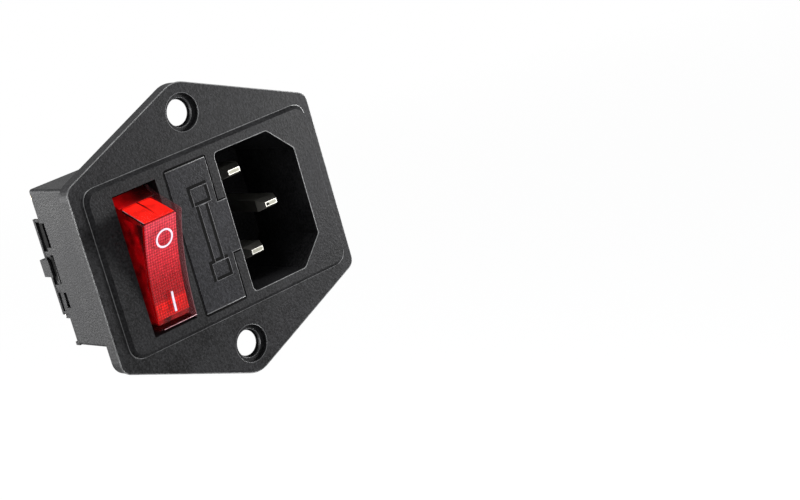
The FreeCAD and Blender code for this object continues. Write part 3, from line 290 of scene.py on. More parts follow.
@cache
def lens_dots_group() -> Tree:
    """A square grid of round light-spreading dots on the faces that look along Y.

    Returns:
        A group with the dots' mask, which is 1 in the middle of each dot.
    """
    tree, given, out = new_group("lens_dots", {"Pitch": 0.0005}, ("Mask",))
    place = parted(tree, given["Vector"])
    waves = []
    for axis in ("X", "Z"):
        turns = math_node(tree, "DIVIDE", place[axis], given["Pitch"])
        waves.append(math_node(tree, "COSINE", math_node(tree, "MULTIPLY", turns, 2 * np.pi)))
    feed(tree, out, {"Mask": straight(tree, math_node(tree, "ADD", *waves), 0.35, 0.35, True)})
    return tree


def start_material(name: str) -> tuple[Material, Tree, Node, Socket]:
    """A fresh material.

    Args:
        name: the material's name.

    Returns:
        The material, its tree, its Principled shader and its Object coordinates.
    """
    made = bpy.data.materials.new(name)
    made.use_nodes = True
    tree = made.node_tree
    return (made, tree, tree.nodes["Principled BSDF"],
            add_node(tree, "TexCoord", {}).outputs["Object"])


def place_group(tree: Tree, group: Tree, vector: Socket, **values: float) -> Sequence[Socket]:
    """Puts a group into a material, with its own values, and gives its outputs."""
    return add_node(tree, "Group", {"Vector": vector, **values}, node_tree=group).outputs


# ---------------- finishes
@dataclass(frozen=True)
class MouldedPlastic:
    """A grained moulding: black body, cover and drawer, and the pale plunger."""

    name: str
    low: Triple
    high: Triple
    roughness: float = 0.5
    grain_scale: float = 2900.0
    grain_depth: float = 0.00008
    gloss: float = 0.08

    def build(self) -> Material:
        """Makes the material: grain in colour, gloss and relief.

        Returns:
            The material.
        """
        made, tree, shader, vector = start_material(self.name)
        grain = place_group(tree, moulded_grain_group(), vector, Scale=self.grain_scale,
                            Roughness=self.roughness)
        feed(tree, shader, {
            "Base Color": colour_between(tree, grain["Mask"], self.low, self.high),
            "Roughness": grain["Roughness"], "Specular IOR Level": self.gloss,
            "Normal": bump(tree, grain["Height"], self.grain_depth, 0.8)})
        return made


@dataclass(frozen=True)
class SheetMetal:
    """Plated or bare stamped metal with drawn lines and a little tarnish."""

    name: str
    metal: Metal
    tarnish: float = 0.5
    dulled: Triple = (0.55, 0.52, 0.46)
    line_depth: float = 0.000006

    def build(self) -> Material:
        """Makes the material from the metal's colour and roughness.

        Returns:
            The material.
        """
        made, tree, shader, vector = start_material(self.name)
        *clean, rough = self.metal.value
        skin = place_group(tree, drawn_metal_group(), vector, Roughness=rough, Tarnish=self.tarnish)
        stained = tuple(part * share for part, share in zip(clean, self.dulled))
        feed(tree, shader, {
            "Base Color": colour_between(tree, skin["Mask"], tuple(clean), stained),
            "Roughness": skin["Roughness"], "Metallic": 1.0,
            "Normal": bump(tree, skin["Height"], self.line_depth, 0.5)})
        return made


@dataclass(frozen=True)
class RedLens:
    """The rocker's red plastic: cloudy, glowing a little, dotted where it is a lens.

    bands are (place, colour) pairs along an axis, from 0 at foot to 1 at top, in which some
    finishes paint light and shade; dots is how strongly the lens's dots show, painted_glow the
    emission that paints light into it, though it is no lamp, and depth how far its clouds darken
    it.
    """

    name: str
    bands: tuple[tuple[float, Triple], ...]
    dots: float = 0.0
    painted_glow: float = 0.0
    roughness: float = 0.3
    depth: float = 0.35
    cloud_scale: float = 420.0
    pitch: float = 0.00040
    axis: str = "Z"
    foot: float = -0.0090
    top: float = 0.0090
    wander: float = 0.05
    dot_dark: float = 0.6
    dot_depth: float = 0.00004

    def build(self) -> Material:
        """Makes the material: bands of colour, darkened between its dots and clouds.

        Returns:
            The material.
        """
        made, tree, shader, vector = start_material(self.name)
        cloud = stretched(tree, noise_node(tree, vector, self.cloud_scale, 3.0), 0.35, 0.65)
        height = stretched(tree, parted(tree, vector)[self.axis], self.foot, self.top)
        stops = sorted(self.bands)
        if len(stops) == 1:
            stops.append((1.0, stops[0][1]))
        colour = colour_ramp(tree, straight(tree, math_node(tree, "SUBTRACT", cloud, 0.5),
                                            self.wander, height), stops)
        mask = straight(tree, cloud, self.depth, 1.0 - self.depth)
        if self.dots > 0.0:
            dots = place_group(tree, lens_dots_group(), vector, Pitch=self.pitch)["Mask"]
            mask = math_node(tree, "MULTIPLY", mask,
                             straight(tree, dots, self.dots, 1.0 - self.dot_dark * self.dots))
            feed(tree, shader, {"Normal": bump(tree, dots, self.dot_depth, 0.5)})
        red = add_node(tree, "VectorMath", {0: colour, "Scale": mask}, operation="SCALE").outputs[0]
        feed(tree, shader, {"Base Color": red, "Roughness": self.roughness,
                            "Specular IOR Level": 0.2})
        # painted glow: emission that stands in for light passing through the red plastic
        if self.painted_glow > 0.0:
            feed(tree, shader, {"Emission Color": red, "Emission Strength": self.painted_glow})
        return made


@dataclass(frozen=True)
class ClearSkin:
    """The rocker's clear outer skin, tinted and see-through.

    cover is how much it hides, and fade the heights in metres between which it is thinned.
    """

    name: str
    tint: Triple
    cover: float
    roughness: float = 0.12
    painted_glow: float = 0.0
    fade: Pair = (1.0, 2.0)
    thinned: float = 0.8
    cloudy: float = 1.3

    def build(self) -> Material:
        """Makes the material: an even tint with faint haze.

        Returns:
            The material.
        """
        made, tree, shader, vector = start_material(self.name)
        haze = noise_node(tree, vector, 600.0, 2.0)
        pale = tuple(min(1.0, part * self.cloudy) for part in self.tint)
        colour = colour_between(tree, haze, self.tint, pale)
        height = stretched(tree, parted(tree, vector)["Z"], *self.fade)
        # painted glow: emission that paints light into the skin, though it is no lamp
        feed(tree, shader, {
            "Base Color": colour, "Emission Color": colour, "Emission Strength": self.painted_glow,
            "Roughness": straight(tree, haze, 0.10, self.roughness),
            "Alpha": straight(tree, height, -self.cover * self.thinned, self.cover),
            "Specular IOR Level": 0.2})
        return made


@dataclass(frozen=True)
class Glass:
    """Thin clear glass of the lamp and the fuse."""

    name: str
    tint: Triple

    def build(self) -> Material:
        """Makes the material: glass with the faintest ripple.

        Returns:
            The material.
        """
        made, tree, shader, vector = start_material(self.name)
        ripple = noise_node(tree, vector, 900.0, 1.0)
        feed(tree, shader, {
            "Base Color": colour_between(tree, ripple, self.tint, (1.0, 1.0, 1.0)),
            "Transmission Weight": 0.9, "Roughness": 0.05,
            "Normal": bump(tree, ripple, 0.00001, 0.2)})
        return made


Finish = MouldedPlastic | SheetMetal | RedLens | ClearSkin | Glass


@cache
def material_of(finish: Finish) -> Material:
    """The material of a finish, made the first time that it is asked for."""
    return finish.build()


@dataclass(frozen=True)
class Skin:
    """What a piece is made of and belongs to, and the angle past which its edges are sharp."""

    finish: Finish
    home: Home
    smooth: float = 40.0


BLACK_CASE = MouldedPlastic("black_case", (0.002, 0.002, 0.0022), (0.021, 0.021, 0.0225), 0.5)
BLACK_COVER = MouldedPlastic("black_cover", (0.003, 0.003, 0.0032), (0.023, 0.023, 0.0245), 0.52)
BLACK_DRAWER = MouldedPlastic("black_drawer", (0.003, 0.003, 0.0036), (0.022, 0.022, 0.0255),
                              0.47)
NYLON = MouldedPlastic("natural_nylon", (0.62, 0.60, 0.54), (0.78, 0.76, 0.70), 0.45)
RESISTOR_COAT = MouldedPlastic("resistor_coat", (0.50, 0.36, 0.18), (0.66, 0.50, 0.30), 0.4)
PRINT_WHITE = MouldedPlastic("printed_white", (0.60, 0.51, 0.60), (0.72, 0.63, 0.72), 0.35,
                             6000.0, 0.00001)
# painted shade: near-black plastic laid where grooves, gaps, slots and the pin's fold lie in shade
PAINTED_SHADE = MouldedPlastic("groove_shadow", (0.001, 0.001, 0.001), (0.003, 0.003, 0.003), 0.7,
                        4200.0, 0.00001, 0.05)
# painted highlight: lighter, glossier grey for the lit moulded edges
EDGE_HIGHLIGHT = MouldedPlastic("painted_edge_highlight", (0.03, 0.03, 0.031), (0.14, 0.141, 0.143), 0.35,
                             1400.0, 0.00001, 0.6)
# painted highlight, dimmer: the fuse sign's lit groove edges and the screw holes' glints
DIM_HIGHLIGHT = MouldedPlastic("dim_painted_highlight", (0.02, 0.02, 0.022), (0.07, 0.071, 0.074), 0.4,
                          1100.0, 0.00001, 0.4)
# painted highlight: pale pink for the lit arrises of the rocker
ARRIS_HIGHLIGHT = MouldedPlastic("painted_arris_highlight", (0.30, 0.10, 0.12), (0.75, 0.45, 0.50), 0.2,
                            900.0, 0.00001, 0.6)
DARK_TIP = SheetMetal("dark_tip", Metal.DARK_NICKEL, 0.2)
# lens_face: painted light and shade banded down the dotted face: lighter towards the top, a dark
# band low down and a bright strip of painted light near the foot, with painted glow
LENS_FACE = RedLens("lens_face", ((0.50, (0.62, 0.018, 0.031)), (0.86, (0.76, 0.052, 0.080)),
                                  (0.30, (0.40, 0.004, 0.009)), (0.135, (0.37, 0.003, 0.006)),
                                  (0.105, (0.88, 0.006, 0.004)), (0.05, (0.60, 0.004, 0.003))),
                    0.8, 0.25, 0.32, 0.35, 2400.0, 0.00047)
# lens_top: painted light on the -X side fading to painted shade towards +X, with painted glow
LENS_TOP = RedLens("lens_top", ((0.0, (0.62, 0.002, 0.003)), (0.40, (0.30, 0.001, 0.002)),
                                (0.75, (0.02, 0.001, 0.001))), 0.0, 0.30, 0.3, 0.6, 600.0,
                   axis="X", foot=-0.0172, top=-0.0105)
# lens_end: painted light with a strong painted glow for the lit upper end's panels
LENS_END = RedLens("lens_end", ((0.0, (0.95, 0.014, 0.008)),), 0.0, 0.65, 0.25)
# lens_edge: a painted highlight along the core's front edge, with painted glow
LENS_EDGE = RedLens("lens_edge", ((0.0, (0.50, 0.002, 0.003)),), 0.0, 0.25, 0.25, 0.7)
# lens_side: bands of painted shade and painted light along the core's side, with painted glow
LENS_SIDE = RedLens("lens_side", ((0.0, (0.030, 0.001, 0.001)), (0.42, (0.055, 0.001, 0.002)),
                                  (0.62, (0.55, 0.001, 0.004)), (1.0, (0.34, 0.001, 0.003))),
                    0.0, 0.25, 0.3, 0.8, 500.0, axis="Y", foot=-0.0088, top=-0.0028)
# lens_core: the core's own red, with painted glow
LENS_CORE = RedLens("lens_core", ((0.0, (0.34, 0.001, 0.002)),), 0.0, 0.22, 0.3, 0.95, 300.0)
CLEAR_SKIN = ClearSkin("clear_skin", (0.10, 0.003, 0.004), 0.12)
# hazy_sheen_side: haze with a painted sheen on the right-hand wall: a pale tint and painted glow
# that thin out higher up
HAZY_SHEEN_SIDE = ClearSkin("hazy_sheen_side", (0.15, 0.055, 0.063), 0.65, 0.3, 0.35, (0.0068, 0.0088))

CAD_FINISHES = {name: finish for finish, names in (
    (BLACK_CASE, "housing"),
    (BLACK_COVER, "rear_cover"),
    (BLACK_DRAWER, "fuse_drawer"),
    (NYLON, "plunger"),
    (RESISTOR_COAT, "lamp_resistor"),
    (Glass("clear_glass", (0.92, 0.96, 0.96)), "fuse_glass"),
    (Glass("lamp_glass", (0.98, 0.86, 0.76)), "neon_lamp"),
    (SheetMetal("spring_wire", Metal.STEEL, 0.2), "plunger_spring"),
    (SheetMetal("copper_blade", Metal.COPPER), "moving_blade"),
    (SheetMetal("contact_silver", Metal.SILVER, 0.3), "moving_contact fixed_contact"),
    (SheetMetal("terminal_brass", Metal.BRASS, 0.6),
     "output_terminal input_terminal neutral_terminal"),
    (SheetMetal("tinned_wire", Metal.TIN, 0.3),
     "lamp_lead_live lamp_lead_mid lamp_lead_neutral fuse_wire"),
    (SheetMetal("fuse_cap", Metal.NICKEL, 0.2), "fuse_cap_upper fuse_cap_lower"),
    (SheetMetal("spring_bronze", Metal.BRONZE), "fuse_contact_upper fuse_contact_lower"),
    (SheetMetal("dull_nickel_pin", Metal.DULL_NICKEL, 0.3), "line_pin neutral_pin earth_pin"),
    (SheetMetal("tinned_bar", Metal.TIN, 0.5), "line_busbar link_busbar neutral_busbar"),
) for name in names.split()}


# ---------------- mesh helpers
def add_object(name: str, data: bpy.types.ID) -> Object:
    """A new object with this data, linked to the scene."""
    made = bpy.data.objects.new(name, data)
    bpy.context.scene.collection.objects.link(made)
    return made


def add_mesh(name: str, points: Array, faces: Sequence[Sequence[int]], skin: Skin) -> Object:
    """Makes a closed piece from points in millimetres and lets it ride on a body.

    Args:
        name: the piece's name.
        points: (n, 3) array of points in the row frame.
        faces: the faces' vertex numbers.
        skin: its finish, its home and its smoothing angle.

    Returns:
        The new object, with its faces turned outwards.
    """
    mesh = bpy.data.meshes.new(name)
    mesh.from_pydata((np.asarray(points, float) * MM).tolist(), [], [list(f) for f in faces])
    work = bmesh.new()
    work.from_mesh(mesh)
    bmesh.ops.recalc_face_normals(work, faces=work.faces)
    work.to_mesh(mesh)
    work.free()
    mesh.polygons.foreach_set("use_smooth", np.ones(len(mesh.polygons), bool))
    mesh.set_sharp_from_angle(angle=np.radians(skin.smooth))
    mesh.materials.append(material_of(skin.finish))
    made = add_object(name, mesh)
    body, slot = skin.home.value
    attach(made, body)
    LOG.info("%s: %d faces on %s", name, len(mesh.polygons), body)
    return made


def grid(across: Pair, columns: int, along: Pair, rows: int) -> tuple[Array, Array]:
    """The two parameters of a patch, as (rows, columns) arrays."""
    u, v = np.meshgrid(np.linspace(*across, columns), np.linspace(*along, rows))
    return u, v


def full_turn(count: int) -> Array:
    """Evenly spread angles round a full turn."""
    return np.linspace(0, 2 * np.pi, count, endpoint=False)


def grid_faces(rows: int, columns: int, ring: bool, tube: bool = False
               ) -> list[tuple[int, ...]]:
    """Quads of a grid of points.

    Args:
        rows: the grid's rows.
        columns: its columns.
        ring: whether the columns close on themselves.
        tube: whether the rows do.

    Returns:
        The quads' vertex numbers.
    """
    i, j = np.meshgrid(np.arange(rows if tube else rows - 1),
                       np.arange(columns if ring else columns - 1), indexing="ij")
    below, after = (i + 1) % rows, (j + 1) % columns
    quads = np.stack([i * columns + j, i * columns + after, below * columns + after,
                      below * columns + j], axis=-1)
    return [tuple(q) for q in quads.reshape(-1, 4).tolist()]


def capped(name: str, rings: Array, skin: Skin) -> Object:
    """A closed piece through rings of points, with a flat face at each end.

    Args:
        name: the piece's name.
        rings: (rows, count, 3) points.
        skin: what it is made of.

    Returns:
        The new object.
    """
    rows, count = rings.shape[:2]
    last = (rows - 1) * count
    faces = [*grid_faces(rows, count, True), range(count), range(last, last + count)]
    return add_mesh(name, rings.reshape(-1, 3), faces, skin)


def corner_arcs(corners: Array, before: Array, after: Array, reach: Sequence[float],
                steps: int) -> Array:
    """Round corners: p(t) = (1-t)^2 a + 2t(1-t) corner + t^2 b.

    Args:
        corners: (n, 2) corners.
        before: (n, 2) points that the line comes from.
        after: (n, 2) points that it goes to.
        reach: n distances from each corner to the ends a and b of its arc.
        steps: points in each arc.

    Returns:
        (n, steps, 2) points.
    """
    a, b = (corners + (other - corners) / np.linalg.norm(other - corners, axis=1)[:, None]
            * np.asarray(reach, float)[:, None] for other in (before, after))
    t = np.linspace(0.0, 1.0, steps)[None, :, None]
    return (1 - t) ** 2 * a[:, None] + 2 * t * (1 - t) * corners[:, None] + t ** 2 * b[:, None]


def rounded_outline(corners: Sequence[Pair], reach: float | Sequence[float], steps: int) -> Array:
    """A closed outline with straight sides and round corners.

    Args:
        corners: its (x, z) corners in order.
        reach: how far each corner's arc reaches, or one reach for all of them.
        steps: points in each arc.

    Returns:
        (n, 2) points.
    """
    ring = np.asarray(corners, float)
    return corner_arcs(ring, np.roll(ring, 1, axis=0), np.roll(ring, -1, axis=0),
                       np.broadcast_to(reach, (len(ring),)), steps).reshape(-1, 2)


def mitres(outline: Array) -> Array:
    """Mitre vectors of a closed outline: (n1 + n2) / (1 + n1.n2).

    Args:
        outline: (n, 2) points.

    Returns:
        (n, 2) vectors that point out of the outline or into it, as it turns.
    """
    before = outline - np.roll(outline, 1, axis=0)
    after = np.roll(outline, -1, axis=0) - outline
    n1, n2 = (np.stack([side[:, 1], -side[:, 0]], 1) / np.linalg.norm(side, axis=1)[:, None]
              for side in (before, after))
    return (n1 + n2) / (1 + np.sum(n1 * n2, axis=1))[:, None]


def carried(name: str, outline: Array, profile: Sequence[Pair], front: float,
            skin: Skin) -> None:
    """Carries a closed profile round an outline in a plane square to Y.

    Point(s, t) = outline(s) + mitre(s) * across(t), at depth front - rise(t).

    Args:
        name: the piece's name.
        outline: (n, 2) points (x, z) of the closed outline.
        profile: (across, rise) points of the closed profile.
        front: y of the face that the profile stands on.
        skin: what it is made of.
    """
    across, rise = np.asarray(profile, float).T
    flat = outline[None] + mitres(outline)[None] * across[:, None, None]
    deep = np.broadcast_to((front - rise)[:, None], flat.shape[:2])
    points = np.stack([flat[..., 0], deep, flat[..., 1]], axis=-1).reshape(-1, 3)
    add_mesh(name, points, grid_faces(len(across), len(outline), True, True), skin)


def bead(radius: float, sunk: float = 0.3) -> Array:
    """A round bead's profile: (r cos t, r sin t - sunk r)."""
    turn = full_turn(10)
    return np.stack([radius * np.cos(turn), radius * np.sin(turn) - sunk * radius], axis=1)


def rod(name: str, start: Sequence[float], end: Sequence[float], radius: float, skin: Skin
        ) -> None:
    """A thin rod with domed ends: point(s, t) = line(s) + r(s) (cos t u + sin t v).

    Args:
        name: the piece's name.
        start: one end in millimetres.
        end: the other end.
        radius: its radius, which falls to nothing over the domes.
        skin: what it is made of.
    """
    a, b = np.asarray(start, float), np.asarray(end, float)
    along = (b - a) / np.linalg.norm(b - a)
    off_line = [0.3, 0.2, 0.93]
    u = np.cross(along, off_line)
    u /= np.linalg.norm(u)
    dome = np.radians([12.0, 45.0, 90.0])
    reach = np.concatenate([-np.cos(dome), np.cos(dome[::-1])]) * radius
    size = np.concatenate([np.sin(dome), np.sin(dome[::-1])]) * radius
    middle = np.repeat(np.stack([a, b]), len(dome), axis=0) + reach[:, None] * along
    turn = full_turn(10)[:, None]
    circle = np.cos(turn) * u + np.sin(turn) * np.cross(along, u)
    capped(name, middle[:, None] + size[:, None, None] * circle, skin)


def plate(name: str, top: Array, below: Array, skin: Skin, ring: bool = False) -> None:
    """A thin closed patch between two grids of the same shape.

    Args:
        name: the piece's name.
        top: (rows, columns, 3) points of the outer side.
        below: (rows, columns, 3) points of the inner side.
        skin: what it is made of.
        ring: whether the columns close on themselves.
    """
    rows, columns = top.shape[:2]
    count = rows * columns
    quads = grid_faces(rows, columns, ring)
    faces = quads + [tuple(k + count for k in q[::-1]) for q in quads]
    index = np.arange(count).reshape(rows, columns)
    rims = [index[0], index[-1]] if ring else [
        np.concatenate([index[0], index[1:, -1], index[-1, -2::-1], index[-2:0:-1, 0]])]
    for rim in rims:
        after = np.roll(rim, -1)
        faces += np.stack([rim, after, after + count, rim + count], axis=1).tolist()
    add_mesh(name, np.concatenate([top.reshape(-1, 3), below.reshape(-1, 3)]), faces, skin)


# ---------------- sub-assemblies
@dataclass
class Rocker:
    """The lit rocker: a red core under a clear skin, a dotted face and two printed marks.

    Sizes are in millimetres in the rocker's own square frame, where y is negative towards
    the front and the axis is the origin. The outline is the front's arc, two ends that
    spread towards the back and a skirt. The core lies inside it, and the strips and panels of
    painted light and shade, the painted shade line and the painted highlights on the arrises
    lie just outside the core.
    """

    pivot: Pair
    middle_x: float = -13.25
    half_width: float = 3.975
    tilt: float = 15.0
    front_reach: float = 7.45
    front_half: float = 9.54
    front_middle: float = 6.4
    end_reach: float = 0.66
    end_half: float = 10.56
    skirt_reach: float = 1.5
    skirt_half: float = 11.35
    corner: float = 0.5
    skirt_corner: float = 0.2
    core_inset: float = 0.6
    core_side: float = 0.85
    core_edge: float = 0.3
    skin_edge: float = 0.4
    face_z: Pair = (-8.0, 8.75)
    face_gap: float = 0.05
    face_rise: float = 0.06
    face_thick: float = 0.12
    vane_bow: float = 0.18
    vane_half: float = 0.17
    vane_tip: float = 0.15
    vane_taper: float = 1.5
    panel_inset: Pair = (0.06, 0.35)
    panel_flare: float = 0.3
    panel_gap: Pair = (0.3, 0.2)
    panel_round: float = 0.5
    panel_rise: float = 0.05
    panel_lift: float = 0.25
    panel_thick: float = 0.15
    glow_x: Pair = (-3.7, 3.2)
    glow_y: Pair = (-1.25, 1.4)
    glow_drop: float = 0.14
    side_rise: float = 0.03
    side_thick: float = 0.1
    side_z: Pair = (-8.6, 8.4)
    edge_strip: Pair = (0.05, 0.4)
    side_strip: Pair = (0.5, 5.4)
    shade_line_y: Pair = (0.1, 5.6)
    shade_line_drop: float = 0.02
    shade_line_width: float = 0.3
    arris_y: Pair = (0.2, 5.4)
    arris_rise: float = 0.03
    arris_radius: float = 0.05
    foot_x: Pair = (-2.6, 3.875)
    foot_back: float = 0.25
    foot_radius: float = 0.055
    stub_long: float = 0.85
    stub_profile: tuple[Pair, ...] = ((-1.0, 1.2), (0.7, 1.2), (0.92, 1.1), (1.0, 0.85))
    ring_middle: Pair = (0.22, 5.38)
    ring_radius: float = 1.5
    bar_middle: Pair = (0.2, -5.7)
    bar_half: Pair = (0.2, 1.68)
    stroke_half: float = 0.165
    print_rise: float = 0.05
    print_thick: float = 0.1

    def face_depth(self, z: Array | float) -> Array:
        """Depth of the hollow front face: an arc that is deepest in the middle.

        y(z) = -(middle + R - sqrt(R^2 - z^2)), where R = (half^2 + dip^2) / (2 dip).

        Args:
            z: height on the face.

        Returns:
            The depth there.
        """
        dip = self.front_reach - self.front_middle
        radius = (self.front_half ** 2 + dip ** 2) / (2 * dip)
        return -(self.front_middle + radius - np.sqrt(np.maximum(radius ** 2 - z ** 2, 0.0)))

    def end_height(self, y: Array) -> Array:
        """Height of the upper end face at a depth: a straight line to where it turns in."""
        slope = (self.end_half - self.front_half) / (self.front_reach - self.end_reach)
        return self.front_half + (y + self.front_reach) * slope

    def to_row(self, x: Array, y: Array, z: Array) -> Array:
        """Points of the square frame where the rocker rests: a turn about X at the pivot.

        Args:
            x: the points' x.
            y: their y.
            z: their z.

        Returns:
            (..., 3) points in the row frame.
        """
        angle = np.radians(self.tilt)
        return np.stack([self.middle_x + x,
                         self.pivot[0] + y * np.cos(angle) - z * np.sin(angle),
                         self.pivot[1] + y * np.sin(angle) + z * np.cos(angle)], axis=-1)

    def outline(self, shrink: float) -> Array:
        """The side outline at a shrink: the front's arc and five straight sides.

        Args:
            shrink: how far it lies inside the rocker's own outline.

        Returns:
            (n, 2) points (y, z).
        """
        half = self.front_half - shrink
        z = np.linspace(-half + self.corner, half - self.corner, 33)
        front = np.stack([self.face_depth(z) + shrink, z], axis=1)
        upper = np.array([(float(self.face_depth(half)) + shrink, half),
                          (-self.end_reach, self.end_half - shrink),
                          (self.skirt_reach, self.skirt_half - shrink)])
        corners = np.concatenate([upper, upper[::-1] * [1, -1]])
        before, after = np.roll(corners, 1, axis=0), np.roll(corners, -1, axis=0)
        before[0], after[-1] = front[-1], front[0]
        reach = [self.corner, self.corner, self.skirt_corner]
        arcs = corner_arcs(corners, before, after, reach + reach[::-1], 5)
        return np.concatenate([front[1:-1], arcs.reshape(-1, 2)])

    def block(self, name: str, shrink: float, half_width: float, edge: float, skin: Skin
              ) -> Object:
        """A closed block: the outline carried along X, drawn in round at each end.

        Point(s, t) = outline(s) moved in by edge (1 - sin t), at
        x = +-(half_width - edge (1 - cos t)).

        Args:
            name: the piece's name.
            shrink: how far it lies inside the rocker's outline.
            half_width: its half width.
            edge: how far its edges are drawn in.
            skin: what it is made of.

        Returns:
            The new object.
        """
        t = np.linspace(0.0, np.pi / 2, 5)
        x = half_width - edge * (1 - np.cos(t))
        inward = edge * (1 - np.sin(t))
        ring = self.outline(shrink)
        flat = ring + mitres(ring) * np.concatenate([inward, inward[::-1]])[:, None, None]
        x = np.broadcast_to(np.concatenate([-x, x[::-1]])[:, None], flat.shape[:2])
        return capped(name, self.to_row(x, flat[..., 0], flat[..., 1]), skin)

    def patch(self, name: str, x: Array | float, y: Array, z: Array, shift: Triple, skin: Skin,
              ring: bool = False) -> None:
        """A thin patch between points of the square frame and the same points shifted.

        Args:
            name: the piece's name.
            x: the points' x.
            y: their y.
            z: their z.
            shift: from the outer side to the inner side.
            skin: what it is made of.
            ring: whether its columns close on themselves.
        """
        outer = np.broadcast_arrays(x, y, z)
        inner = [part + step for part, step in zip(outer, shift)]
        plate(name, self.to_row(*outer), self.to_row(*inner), skin, ring)

    def on_face(self, name: str, x: Array, z: Array, rise: float, thick: float, skin: Skin,
                ring: bool = False) -> None:
        """A thin patch laid on the hollow face: y = face(z) - rise, thick towards the back."""
        self.patch(name, x, self.face_depth(z) - rise, z, (0.0, thick, 0.0), skin, ring)

    def end_panel(self, name: str, side: float) -> None:
        """One half of the upper end's painted light and glow, beside the vane that divides it.

        The grid runs from the vane, x = bow sin(pi v) + side half min(1, tip + taper v), to
        the core's side, and from the front edge to where the end turns in.

        Args:
            name: the piece's name.
            side: -1 for the left half and 1 for the right.
        """
        u, v = grid((0, 1), 5, (0, 1), 9)
        near, far = self.panel_inset
        inner = (self.vane_bow * np.sin(np.pi * v)
                 + side * self.vane_half * np.minimum(1.0, self.vane_tip + self.vane_taper * v))
        inset = near if side < 0 else far + self.panel_flare * v ** 3
        x = inner + u * (side * (self.half_width - self.core_side - inset) - inner)
        front, back = self.panel_gap
        reach = (self.front_reach - self.core_inset - self.end_reach - back
                 - self.panel_round * u ** 4)
        y = -self.front_reach + self.core_inset + front + v * reach
        z = (self.end_height(y) - self.core_inset + self.panel_rise
             + self.panel_lift * np.maximum(y + self.end_reach, 0.0))
        self.patch(name, x, y, z, (0.0, 0.0, -self.panel_thick), Skin(LENS_END, Home.DIFFUSER))

    def top_glow(self) -> None:
        """The cloudy red behind the end's panels, just under the skin, with painted light towards
        -X that fades to painted shade towards +X.

        The grid follows the end's straight slope to where it turns in, then the skirt's.
        """
        x, y = grid(self.glow_x, 9, self.glow_y, 9)
        slope = (self.skirt_half - self.end_half) / (self.skirt_reach + self.end_reach)
        z = np.where(y < -self.end_reach, self.end_height(y),
                     self.end_half + (y + self.end_reach) * slope) - self.glow_drop
        self.patch("rocker_top_glow", x, y, z, (0.0, 0.0, -self.panel_thick),
                   Skin(LENS_TOP, Home.DIFFUSER))

    def hazy_sheen_side(self, skin: Object) -> None:
        """Gives the skin's right-hand wall, whose normal is +X, its haze and painted sheen.

        Args:
            skin: the rocker's skin.
        """
        mesh = skin.data
        mesh.materials.append(material_of(HAZY_SHEEN_SIDE))
        normals = np.empty(3 * len(mesh.polygons))
        mesh.polygons.foreach_get("normal", normals)
        side = normals.reshape(-1, 3)[:, 0] > 0.5
        mesh.polygons.foreach_set("material_index", side.astype(np.int32))

    def side_details(self) -> None:
        """Painted light and shade strips by the front edge, a painted shade line and painted
        highlight arrises.
        """
        x_side = -(self.half_width - self.core_side) - self.side_rise
        inward = (self.side_thick, 0.0, 0.0)
        # a painted highlight strip by the front edge and a strip of painted light and shade along
        # the side
        for name, across, finish in (("rocker_edge_glow", self.edge_strip, LENS_EDGE),
                                     ("rocker_side_glow", self.side_strip, LENS_SIDE)):
            u, z = grid(across, 3, self.side_z, 33)
            self.patch(name, x_side, self.face_depth(z) + self.core_inset + u, z, inward,
                       Skin(finish, Home.DIFFUSER))
        # a painted shade line along the top of the core's left side
        u, v = grid((0.0, 1.0), 3, (0.0, 1.0), 9)
        start, long = self.shade_line_y
        y = -self.front_reach + self.core_inset + start + v * long
        z = self.end_height(y) - self.core_inset - self.shade_line_drop - u * self.shade_line_width
        self.patch("rocker_side_shade_line", x_side - self.shade_line_drop, y, z, inward,
                   Skin(PAINTED_SHADE, Home.DIFFUSER))
        # painted highlight rods on the side's upper arris and along the foot
        pink = Skin(ARRIS_HIGHLIGHT, Home.LENS)
        y = -self.front_reach + self.core_inset + np.array(self.arris_y)
        rod("rocker_side_arris", *self.to_row(
            np.full(2, x_side), y, self.end_height(y) - self.core_inset + self.arris_rise),
            self.arris_radius, pink)
        y = np.full(2, self.face_depth(self.front_half) + self.foot_back)
        rod("rocker_foot_arris", *self.to_row(
            np.array(self.foot_x), y, np.full(2, self.arris_rise - self.front_half)),
            self.foot_radius, pink)

    def marks(self) -> None:
        """The printed ring and bar on the face: r = radius + v stroke, and a plain patch."""
        white = Skin(PRINT_WHITE, Home.LENS, 30.0)
        turn, step = np.meshgrid(full_turn(72), np.linspace(-1, 1, 3))
        radius = self.ring_radius + step * self.stroke_half
        u, v = grid((-1, 1), 3, (-1, 1), 9)
        for name, middle, x, z, ring in (
                ("rocker_off_mark", self.ring_middle, radius * np.cos(turn),
                 radius * np.sin(turn), True),
                ("rocker_on_mark", self.bar_middle, u * self.bar_half[0],
                 v * self.bar_half[1], False)):
            self.on_face(name, middle[0] + x, middle[1] + z, self.print_rise,
                         self.print_thick, white, ring)

    def axles(self, skin: Skin) -> None:
        """The two stub axles: turned shapes with rounded ends, radius(t) about X.

        Args:
            skin: what they are made of.
        """
        turn = full_turn(32)
        reach, radius = np.array(self.stub_profile).T
        for name, side in (("rocker_left_axle", -1.0), ("rocker_right_axle", 1.0)):
            x = side * (self.half_width + reach * self.stub_long)
            capped(name, self.to_row(np.broadcast_to(x[:, None], (len(x), len(turn))),
                                     radius[:, None] * np.cos(turn),
                                     radius[:, None] * np.sin(turn)), skin)

